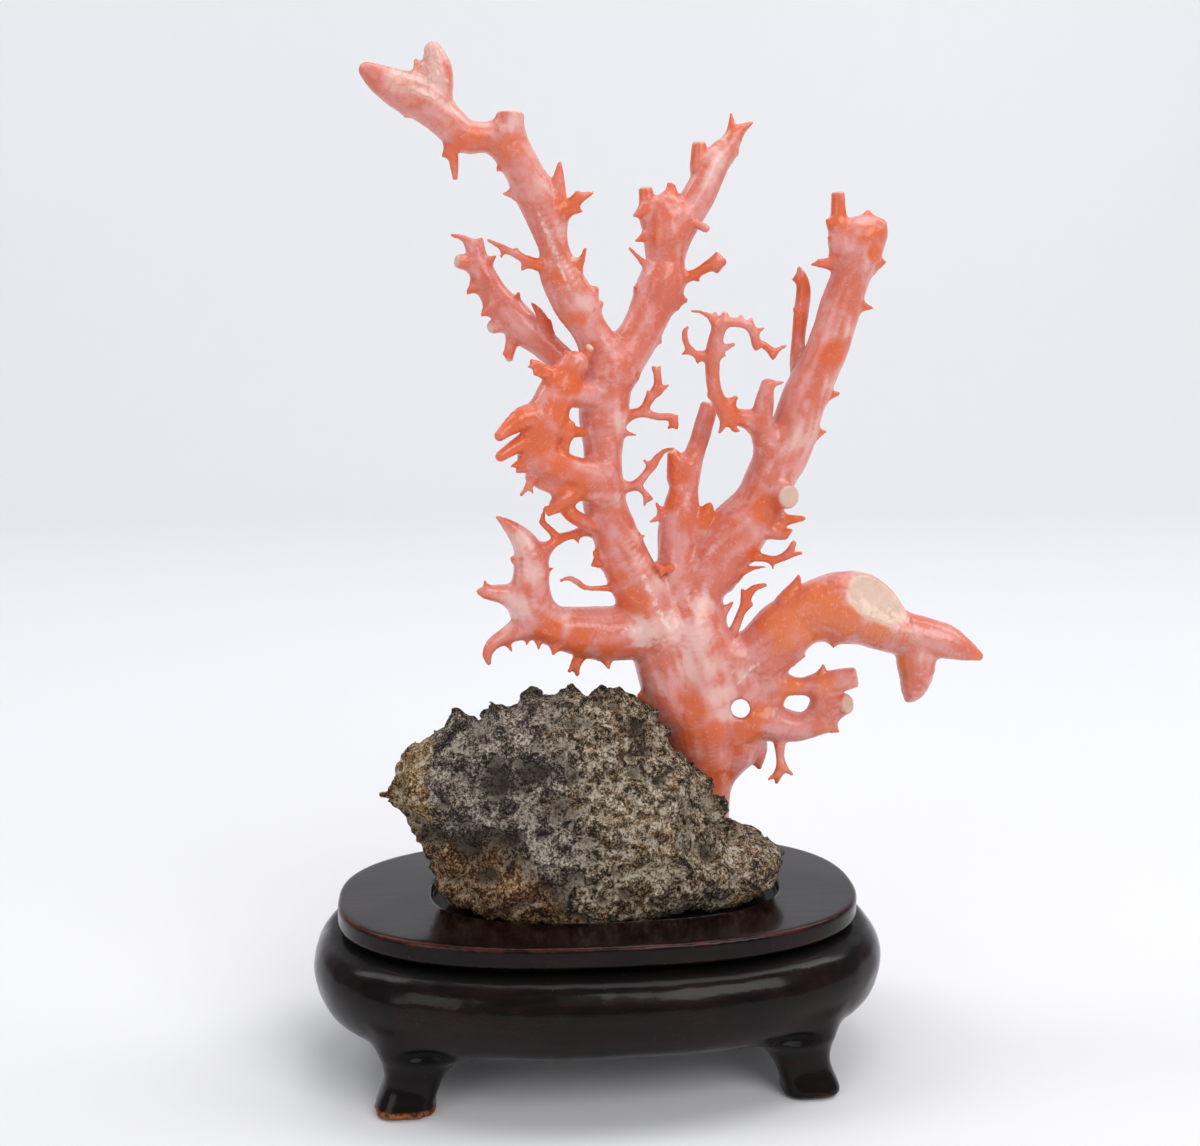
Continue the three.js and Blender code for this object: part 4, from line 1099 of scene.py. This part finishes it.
# The feet from the floor up: height, half width, and how far the middle stands outwards.
FOOT = [(0, 6.6, 1.0), (1.2, 7.3, 1.6), (3.0, 7.2, 1.3), (6, 7.1, 0.2), (9, 7.6, -0.8), (12.5, 9.4, -2.0),
        (16, 12, -3.4), (22, 14, -5)]
FOOT_MIDDLE = (50, 28.5)
FOOT_POWER = 3.2
TOE_HOLLOW = {"middle": (46.8, 38.4, 16.6), "reach": (6.2, 3.0, 2.3)}


def outline_inset(x, y, half_width, half_depth):
    """How far points lie inside an oval outline, seen from above: negative outside it."""
    n = OUTLINE_POWER
    u, v = np.abs(x) / half_width, np.abs(y) / half_depth
    reach = np.maximum(u**n + v**n, 1e-9) ** (1 / n)
    slope = np.hypot(u ** (n - 1) / half_width, v ** (n - 1) / half_depth) / reach ** (n - 1)
    return (1 - reach) / slope


def profile_gap(inset, z, profile):
    """Distances from (inset, z) to a closed profile, negative inside it."""
    best = np.full(inset.shape, FAR**2)
    inside = np.zeros(inset.shape, bool)
    for (x0, z0), (x1, z1) in zip(profile, np.roll(profile, -1, axis=0)):
        dx, dz = x1 - x0, z1 - z0
        t = np.clip(((inset - x0) * dx + (z - z0) * dz) / max(dx * dx + dz * dz, 1e-12), 0, 1)
        best = np.minimum(best, (inset - x0 - t * dx) ** 2 + (z - z0 - t * dz) ** 2)
        if dz:
            inside ^= ((z0 > z) != (z1 > z)) & (inset < x0 + (z - z0) * dx / dz)
    return np.where(inside, -1, 1) * np.sqrt(best)


def plate_profile():
    """The board's section, from deep inside to its two rounded edges: (inset, height)."""
    low, high, edge = PLATE["bottom"], PLATE["top"], PLATE["edge"]
    turns = np.linspace(0, math.pi / 2, 6)
    lower = [(edge * (1 - math.sin(a)), low + edge * (1 - math.cos(a))) for a in turns]
    upper = [(edge * (1 - math.cos(a)), high - edge * (1 - math.sin(a))) for a in turns]
    return np.array([(DEEP, low), *lower, *upper, (DEEP, high)])


def base_profile():
    """The base's section, from the apron's face round to the hollow under it: (inset, height)."""
    face = smooth_curve(APRON, 1.0)
    waist, shoulder, top, hollow = BASE["waist"], BASE["shoulder"], BASE["top"], BASE["hollow"]
    lip = APRON[0][1]
    inner = [(waist, shoulder), (waist, top), (DEEP, top), (DEEP, hollow), (15, hollow), (13.5, lip)]
    return np.vstack([face, inner])


PLATE_PROFILE = plate_profile()
BASE_PROFILE = base_profile()


def plate_gap(points):
    x, y, z = np.moveaxis(points, -1, 0)
    inset = outline_inset(x, y, PLATE["half_width"], PLATE["half_depth"])
    board = profile_gap(inset, z, PLATE_PROFILE)
    in_seat = outline_inset(x - SEAT["x"], y - SEAT["y"], SEAT["half_width"], SEAT["half_depth"])
    seat = np.maximum(-in_seat, PLATE["top"] - SEAT["depth"] - z)
    return -soft_min(-board, seat, 0.5)


def foot_gap(points):
    """Distances to the four feet, which mirror one another."""
    x, y, z = np.moveaxis(points, -1, 0)
    heights, halves, outwards = smooth_curve(FOOT, 0.8).T
    half = np.interp(z, heights, halves)
    outward = np.interp(z, heights, outwards)
    u = np.abs(np.abs(x) - FOOT_MIDDLE[0] - outward) / half
    v = np.abs(np.abs(y) - FOOT_MIDDLE[1] - outward) / half
    side = ((u**FOOT_POWER + v**FOOT_POWER) ** (1 / FOOT_POWER) - 1) * half
    ends = np.maximum(-z, z - FOOT[-1][0])
    return -soft_min(-side, -ends, 0.8)


def hollow_gap(points):
    """Distances to the oval hollows above the four toes."""
    middle, reach = np.array(TOE_HOLLOW["middle"]), np.array(TOE_HOLLOW["reach"])
    mirrored = np.concatenate([np.abs(points[..., :2]), points[..., 2:]], axis=-1)
    return (np.linalg.norm((mirrored - middle) / reach, axis=-1) - 1) * reach.min()


def base_gap(points):
    x, y, z = np.moveaxis(points, -1, 0)
    inset = outline_inset(x, y, BASE["half_width"], BASE["half_depth"])
    solid = soft_min(profile_gap(inset, z, BASE_PROFILE), foot_gap(points), 3.2)
    return -soft_min(-solid, hollow_gap(points), 0.8)


def carved_surface(gap, low, high, rounds=2):
    """A surface meshed from a distance function, with its points drawn onto it exactly."""
    field = Field(low, high, STAND_CELL)
    where, points = field.window(low, high)
    field.values[where] = gap(points)
    points, quads = largest_shell(*field.surface())
    nudge = 0.05
    for _ in range(rounds):
        here = gap(points)
        slope = np.stack([gap(points + nudge * axis) - here for axis in np.eye(3)], axis=1) / nudge
        steep = np.maximum((slope**2).sum(axis=1, keepdims=True), 0.2)
        points = points - np.clip(here[:, None] * slope / steep, -0.3, 0.3)
    return points, quads


def build_plate(material):
    reach = np.array([PLATE["half_width"], PLATE["half_depth"]]) + 2
    points, quads = carved_surface(plate_gap, [*-reach, PLATE["bottom"] - 2], [*reach, PLATE["top"] + 2])
    inset = outline_inset(points[:, 0], points[:, 1], PLATE["half_width"], PLATE["half_depth"])
    to_edge = np.hypot(inset - 0.4, points[:, 2] - PLATE["top"] + 0.4)
    in_seat = outline_inset(
        points[:, 0] - SEAT["x"], points[:, 1] - SEAT["y"], SEAT["half_width"], SEAT["half_depth"]
    )
    to_seat = np.hypot(in_seat, points[:, 2] - PLATE["top"])
    layers = {
        "worn": np.maximum(smooth_step(1.5, 0.3, to_edge), 0.8 * smooth_step(0.9, 0.2, to_seat)),
        "bare": np.zeros(len(points)),
        # painted shade: the inside of the seat, painted near black where shade falls
        "painted_shade": smooth_step(-0.3, 0.8, in_seat),
        # painted highlight: a pale broken line along the front rim of the seat, where the rim catches the
        # light
        "painted_rim_highlight": smooth_step(0.8, 0.2, to_seat) * (points[:, 1] < 0) * (np.abs(points[:, 0] - 8) < 22),
    }
    normals = point_normals(points, quads)
    points = points + normals * 0.10 * noise(points, 16, 81)[:, None]
    normals = point_normals(points, quads)
    mesh_object("stand_board", points, quads.tolist(), normals, layers, material, "stand_top")


def build_base(material):
    reach = np.array([BASE["half_width"], BASE["half_depth"]]) + 2
    points, quads = carved_surface(base_gap, [*-reach, -2], [*reach, BASE["top"] + 2])
    x, y, z = points.T
    normals = point_normals(points, quads)
    toe = smooth_step(3.0, 0.8, z)
    left_toe = toe * (x < 0) * (y < 0)
    side_chip = np.exp(-np.linalg.norm((points - (-72.5, -6, 25)) / (3, 2, 3.4), axis=1) ** 2)
    layers = {
        "worn": np.maximum(0.75 * toe, 0.5 * smooth_step(1.6, 0.4, np.abs(z - 16)) * (z < 17)),
        "bare": np.maximum(smooth_step(0.3, 0.7, left_toe + 0.25 * noise(points, 3, 91)), side_chip),
        # painted shade: the waist under the board and the hollows above the toes, painted near black where
        # shade falls
        "painted_shade": np.maximum(smooth_step(35.5, 37.5, z), smooth_step(1.2, 0.2, hollow_gap(points))),
        "painted_rim_highlight": np.zeros(len(points)),
    }
    uneven = 0.22 * noise(points, 17, 92) + 0.10 * noise(points, 5, 93)
    dents = 0.25 * layers["bare"] * (1 + noise(points, 1.8, 94)) * (z > 0.3)
    uneven = uneven * smooth_step(0.2, 1.5, z) - dents
    points = points + normals * uneven[:, None]
    normals = point_normals(points, quads)
    mesh_object("stand_carving", points, quads.tolist(), normals, layers, material, "stand_base")


# ---------------------------------------------------------------- finishes


class Finish:
    """A material's nodes, built around its Principled shader."""

    def __init__(self, name, settings):
        self.material = bpy.data.materials.new(name)
        self.material.use_nodes = True
        self.tree = self.material.node_tree
        self.shader = self.tree.nodes["Principled BSDF"]
        self.place = self.tree.nodes.new("ShaderNodeTexCoord").outputs["Object"]
        for socket, value in settings.items():
            self.shader.inputs[socket].default_value = value

    def node(self, kind, inputs, **settings):
        """A node with its settings, and each input set to a value or linked to a socket."""
        made = self.tree.nodes.new(kind)
        for name, value in settings.items():
            setattr(made, name, value)
        for socket, value in inputs.items():
            if isinstance(value, bpy.types.NodeSocket):
                self.tree.links.new(value, made.inputs[socket])
            else:
                made.inputs[socket].default_value = value
        return made

    def layer(self, name):
        return self.node("ShaderNodeAttribute", {}, attribute_name=name).outputs["Fac"]

    def noise(self, size, detail=4.0, roughness=0.55, stretch=(1, 1, 1), distortion=0.0):
        """Noise whose lumps are about size millimetres across, longer along a larger stretch."""
        scale = tuple(1 / s for s in stretch)
        place = self.node("ShaderNodeMapping", {"Vector": self.place, "Scale": scale}).outputs[0]
        inputs = {
            "Vector": place, "Scale": 1 / (size * MM), "Detail": detail, "Roughness": roughness,
            "Distortion": distortion,
        }
        return self.node("ShaderNodeTexNoise", inputs).outputs["Fac"]

    def cells(self, size, output="Distance", feature="F1", wander=None):
        """Cells about size millimetres across, whose edges wander with another value."""
        place = self.place
        if wander is not None:
            inputs = {0: wander, 1: (2 * MM, 2 * MM, 2 * MM), 2: self.place}
            place = self.node("ShaderNodeVectorMath", inputs, operation="MULTIPLY_ADD").outputs[0]
        inputs = {"Vector": place, "Scale": 1 / (size * MM)}
        return self.node("ShaderNodeTexVoronoi", inputs, feature=feature).outputs[output]

    def math(self, operation, first, second=0.0, third=0.0):
        return self.node("ShaderNodeMath", {0: first, 1: second, 2: third}, operation=operation).outputs[0]

    def span(self, value, low, high, start=0.0, end=1.0):
        """Carries low..high of a value smoothly to start..end."""
        inputs = {"Value": value, "From Min": low, "From Max": high, "To Min": start, "To Max": end}
        return self.node("ShaderNodeMapRange", inputs, interpolation_type="SMOOTHSTEP").outputs[0]

    def mix(self, factor, first, second, blend="MIX"):
        colours = {6: first, 7: second}
        colours = {i: (*c, 1.0) if isinstance(c, tuple) else c for i, c in colours.items()}
        mixed = self.node("ShaderNodeMix", {0: factor, **colours}, data_type="RGBA", blend_type=blend)
        return mixed.outputs[2]

    def bump(self, height, distance, strength=1.0, normal=None):
        inputs = {"Height": height, "Distance": distance * MM, "Strength": strength}
        if normal is not None:
            inputs["Normal"] = normal
        return self.node("ShaderNodeBump", inputs).outputs[0]

    def finish(self, colour, roughness, normal):
        self.tree.links.new(colour, self.shader.inputs["Base Color"])
        self.tree.links.new(roughness, self.shader.inputs["Roughness"])
        self.tree.links.new(normal, self.shader.inputs["Normal"])
        return self.material


def coral_finish():
    f = Finish("coral", {
        "Subsurface Weight": 0.12, "Subsurface Radius": (1.0, 0.35, 0.22), "Subsurface Scale": 0.003,
        "Specular IOR Level": 0.5, "Coat Weight": 0.42, "Coat Roughness": 0.10, "IOR": 1.5,
    })
    salmon, pink = (0.69, 0.160, 0.095), (0.77, 0.31, 0.28)
    orange, golden = (0.74, 0.125, 0.026), (0.78, 0.185, 0.055)
    # bright is a near white, used for small pale flecks of the coral and for the painted highlight lines
    pale, bright, sawn = (0.86, 0.54, 0.48), (0.94, 0.80, 0.75), (0.66, 0.48, 0.37)
    broad = f.noise(9, 4, 0.55, distortion=0.8)
    mottle = f.noise(2.4, 5, 0.62, distortion=0.6)
    speck = f.noise(0.7, 3, 0.6)
    streak = f.layer("streak")
    blend = f.math("MULTIPLY_ADD", streak, 0.3, f.math("MULTIPLY_ADD", mottle, 0.35, broad))
    colour = f.mix(f.span(blend, 0.66, 1.02), salmon, pink)
    veined = f.math("MULTIPLY", f.math("ADD", streak, mottle), 0.35)
    # The pale layer mixes in the coral's pale marbling, and painted sheen on the stems
    milky = f.math("MULTIPLY_ADD", f.layer("pale"), 0.75, veined)
    colour = f.mix(f.span(milky, 0.46, 1.0, 0.0, 0.85), colour, pale)
    warm = f.math("MULTIPLY_ADD", f.layer("orange"), 0.8, f.math("MULTIPLY", mottle, 0.55))
    deep = f.mix(f.span(f.math("MULTIPLY_ADD", broad, 0.6, f.layer("golden")), 0.6, 1.2), orange, golden)
    colour = f.mix(f.span(warm, 0.44, 0.90, 0.0, 0.95), colour, deep)
    cloudy = f.noise(1.5, 5, 0.7, distortion=1.2)
    colour = f.mix(f.span(cloudy, 0.54, 0.70, 0.0, 0.34), colour, pale)
    colour = f.mix(f.span(speck, 0.62, 0.8, 0.0, 0.14), colour, bright)
    # Painted highlight: the thin bright lines of the bright layer, broken by noise and mixed towards near
    # white
    line = f.math("MULTIPLY", f.layer("bright"), f.span(f.noise(1.8, 4, 0.7), 0.35, 0.65, 0.3, 1.2))
    colour = f.mix(f.span(line, 0.3, 1.1, 0.0, 0.55), colour, bright)
    crack = f.span(f.cells(3.2, feature="DISTANCE_TO_EDGE", wander=mottle), 0.0, 0.12, 1.0, 0.0)
    crack = f.math("MULTIPLY", crack, f.span(f.layer("cracked"), 0.3, 0.8))
    colour = f.mix(f.math("MULTIPLY", crack, 0.4), colour, (0.62, 0.38, 0.24))
    cut = f.layer("cut")
    face = f.mix(f.span(f.noise(4, 4), 0.45, 0.7), sawn, (0.78, 0.54, 0.42))
    colour = f.mix(f.math("MULTIPLY", cut, 0.85), colour, face)
    rough = f.math("ADD", f.span(mottle, 0.3, 0.7, 0.34, 0.50), f.math("MULTIPLY", cut, 0.2))
    fine = f.bump(f.noise(0.7, 3), 0.12, 0.45)
    height = f.math("ADD", f.noise(2.2, 4), f.math("SUBTRACT", streak, crack))
    return f.finish(colour, rough, f.bump(height, 0.35, 0.45, fine))


def rock_palette(f, value, colours):
    """Runs through colours, dark to light, as a value goes from 0 to 1."""
    colour = colours[0]
    steps = len(colours) - 1
    for number, following in enumerate(colours[1:]):
        colour = f.mix(f.span(value, number / steps, (number + 1) / steps), colour, following)
    return colour


# The rock's colours by place, each from dark to light: the dark end is met in painted shade in low places
# and in dark grains, the light end in painted light on raised places and in light crystals.
GREY = [
    (0.008, 0.006, 0.005), (0.105, 0.075, 0.046), (0.36, 0.262, 0.158), (0.68, 0.53, 0.35),
    (0.93, 0.85, 0.71),
]
SOOT = [
    (0.007, 0.006, 0.005), (0.070, 0.055, 0.045), (0.21, 0.168, 0.135), (0.46, 0.38, 0.305),
    (0.82, 0.73, 0.61),
]
RUST = [
    (0.012, 0.006, 0.003), (0.125, 0.048, 0.016), (0.38, 0.170, 0.055), (0.60, 0.37, 0.17),
    (0.78, 0.65, 0.48),
]
OCHRE = [
    (0.035, 0.017, 0.006), (0.25, 0.125, 0.034), (0.52, 0.32, 0.13), (0.72, 0.54, 0.33),
    (0.88, 0.78, 0.62),
]


def rock_finish():
    f = Finish("rock", {"Specular IOR Level": 0.35})
    fine = f.span(f.noise(1.1, 6, 0.85), 0.40, 0.62)
    grit = f.span(f.noise(0.5, 3, 0.7), 0.38, 0.62)
    coarse = f.noise(5, 4, 0.6)
    crystal = f.cells(0.7, "Color")
    # raised and proud add painted light on raised places and painted shade in low ones; the rest is the
    # rock's own grain and speckle
    parts = (
        (f.layer("raised"), 0.34), (f.layer("proud"), 0.22), (fine, 0.40), (grit, 0.36), (coarse, 0.20),
        (crystal, 0.30), (f.layer("grain"), 0.08),
    )
    value = 0.0
    for part, share in parts:
        value = f.math("MULTIPLY_ADD", part, share, value)
    value = f.span(value, 0.49, 1.34)
    # glint: painted glints on light crystals where they stand out
    glint = f.math("MULTIPLY", f.span(crystal, 0.68, 0.76), f.span(f.layer("raised"), 0.25, 0.6))
    value = f.math("MULTIPLY_ADD", f.math("MULTIPLY", glint, f.layer("grainy")), 0.42, value)
    colour = rock_palette(f, value, GREY)
    rusty = f.span(f.noise(4.0, 5, 0.7), 0.50, 0.64)
    colour = f.mix(f.math("MULTIPLY", rusty, 0.75), colour, rock_palette(f, value, RUST))
    colour = f.mix(f.math("MULTIPLY", f.layer("dark"), 0.85), colour, rock_palette(f, value, SOOT))
    colour = f.mix(f.layer("brown"), colour, rock_palette(f, value, RUST))
    colour = f.mix(f.layer("ochre"), colour, rock_palette(f, value, OCHRE))
    # Painted shade: the colour is darkened in the hollows and along the crevice
    colour = f.mix(f.layer("hollow"), colour, (0.24, 0.22, 0.20), "MULTIPLY")
    rough = f.span(value, 0.5, 1.0, 0.85, 0.45)
    height = f.math("ADD", f.noise(1.1, 6, 0.85), f.math("MULTIPLY", crystal, 0.25))
    return f.finish(colour, rough, f.bump(height, 1.8, 1.0))


def wood_finish():
    f = Finish("wood", {"IOR": 1.22, "Coat Weight": 0.28, "Coat Roughness": 0.08, "Coat IOR": 1.3})
    black, brown = (0.0030, 0.0015, 0.0014), (0.012, 0.0038, 0.0032)
    red, raw = (0.060, 0.014, 0.009), (0.42, 0.13, 0.035)
    grain = f.noise(1.3, 5, 0.6, (16, 1.5, 1.5))
    broad = f.noise(20, 3)
    fine = f.noise(1.1, 5, 0.65)
    tone = f.math("MULTIPLY_ADD", grain, 0.5, f.math("MULTIPLY", broad, 0.6))
    colour = f.mix(f.span(tone, 0.42, 0.72), black, brown)
    broken = f.math("MULTIPLY_ADD", f.noise(11, 3), 0.9, f.math("MULTIPLY", f.noise(2.4, 5, 0.7), 0.5))
    wear = f.math("MULTIPLY_ADD", f.layer("worn"), 0.5, broken)
    colour = f.mix(f.span(wear, 1.0, 1.25, 0.0, 0.9), colour, red)
    colour = f.mix(f.layer("bare"), colour, f.mix(f.span(fine, 0.35, 0.65), red, raw))
    # Painted shade: near black in the seat, under the board and in the toe hollows; the same mask also
    # dulls the gloss
    colour = f.mix(f.math("MULTIPLY", f.layer("painted_shade"), 0.8), colour, (0.002, 0.0018, 0.0018))
    # Painted highlight on the seat's front rim, broken by noise
    rim_highlight_amount = f.math("MULTIPLY", f.layer("painted_rim_highlight"), f.span(fine, 0.35, 0.6, 0.0, 0.6))
    colour = f.mix(rim_highlight_amount, colour, (0.40, 0.36, 0.30))
    dust = f.span(f.noise(0.9, 2), 0.72, 0.8, 0.0, 0.22)
    colour = f.mix(dust, colour, (0.25, 0.23, 0.21))
    dull = f.math("MULTIPLY_ADD", f.layer("bare"), 0.3, f.math("MULTIPLY", f.layer("painted_shade"), 0.6))
    rough = f.math("ADD", f.span(grain, 0.3, 0.7, 0.16, 0.26), dull)
    normal = f.bump(f.math("ADD", grain, f.noise(0.6, 3)), 0.08, 0.3)
    return f.finish(colour, rough, normal)


# ---------------------------------------------------------------- camera, floor and light

CAMERA_PLACE = (-39.554, -407.205, 199.675)
CAMERA_YAW = 5.617  # degrees to the right of straight ahead
CAMERA_PITCH = 9.624  # degrees down
LENS = 48


def place_camera():
    data = bpy.data.cameras.new("camera")
    data.lens = LENS
    data.sensor_width = 36
    data.clip_start = 0.01
    camera = bpy.data.objects.new("camera", data)
    camera.location = in_row(CAMERA_PLACE)
    camera.rotation_euler = (math.radians(90 - CAMERA_PITCH), 0, -math.radians(CAMERA_YAW))
    bpy.context.scene.collection.objects.link(camera)
    bpy.context.scene.camera = camera


def plain_material(name, colour, roughness):
    material = bpy.data.materials.new(name)
    material.use_nodes = True
    shader = material.node_tree.nodes["Principled BSDF"]
    shader.inputs["Base Color"].default_value = (*colour, 1)
    shader.inputs["Roughness"].default_value = roughness
    return material


def make_floor():
    """A pale floor that curves up into a backdrop."""
    half_width, front, back, bend, height = 5.0, -2.5, 1.1, 0.7, 3.5
    turn = [(back + bend * math.sin(a), bend * (1 - math.cos(a))) for a in np.linspace(0, math.pi / 2, 17)]
    line = [(front, 0.0), *turn, (back + bend, height)]
    points = [(x, y, z) for y, z in line for x in (-half_width, half_width)]
    polygons = [(i, i + 1, i + 3, i + 2) for i in range(0, len(points) - 2, 2)]
    mesh = bpy.data.meshes.new("floor")
    mesh.from_pydata(points, [], polygons)
    mesh.shade_smooth()
    mesh.materials.append(plain_material("floor", (0.80, 0.80, 0.825), 0.6))
    floor = bpy.data.objects.new("floor", mesh)
    bpy.context.scene.collection.objects.link(floor)


def area_light(name, place, aim, size, power, colour=(1, 1, 1)):
    data = bpy.data.lights.new(name, "AREA")
    data.shape = "RECTANGLE"
    data.size, data.size_y = size
    data.energy = power
    data.color = colour
    light = bpy.data.objects.new(name, data)
    light.location = place
    light.rotation_euler = (Vector(aim) - Vector(place)).to_track_quat("-Z", "Y").to_euler()
    bpy.context.scene.collection.objects.link(light)


def light_studio():
    world = bpy.data.worlds.new("studio")
    world.use_nodes = True
    background = world.node_tree.nodes["Background"]
    background.inputs["Color"].default_value = (0.93, 0.96, 1.0, 1)
    background.inputs["Strength"].default_value = 0.34
    bpy.context.scene.world = world
    aim = (0, 0, 0.12)
    area_light("key", (0.55, -0.95, 0.95), aim, (0.9, 0.7), 8.4, (1.0, 0.99, 0.98))
    area_light("fill", (-0.8, -0.9, 0.5), aim, (0.6, 0.6), 2.2)
    area_light("top", (0.1, 0.1, 1.1), aim, (0.7, 0.5), 3.0)
    area_light("backdrop_left", (-1.2, 0.3, 1.5), (-0.5, 1.7, 0.4), (1.0, 1.0), 13.0)
    area_light("backdrop_right", (1.2, 0.3, 1.5), (0.5, 1.7, 0.4), (1.0, 1.0), 15.0)
    bpy.context.scene.view_settings.view_transform = "Standard"


# ---------------------------------------------------------------- the whole

place_camera()
light_studio()
make_floor()
build_coral(coral_finish())
build_rock(rock_finish())
wood = wood_finish()
build_plate(wood)
build_base(wood)
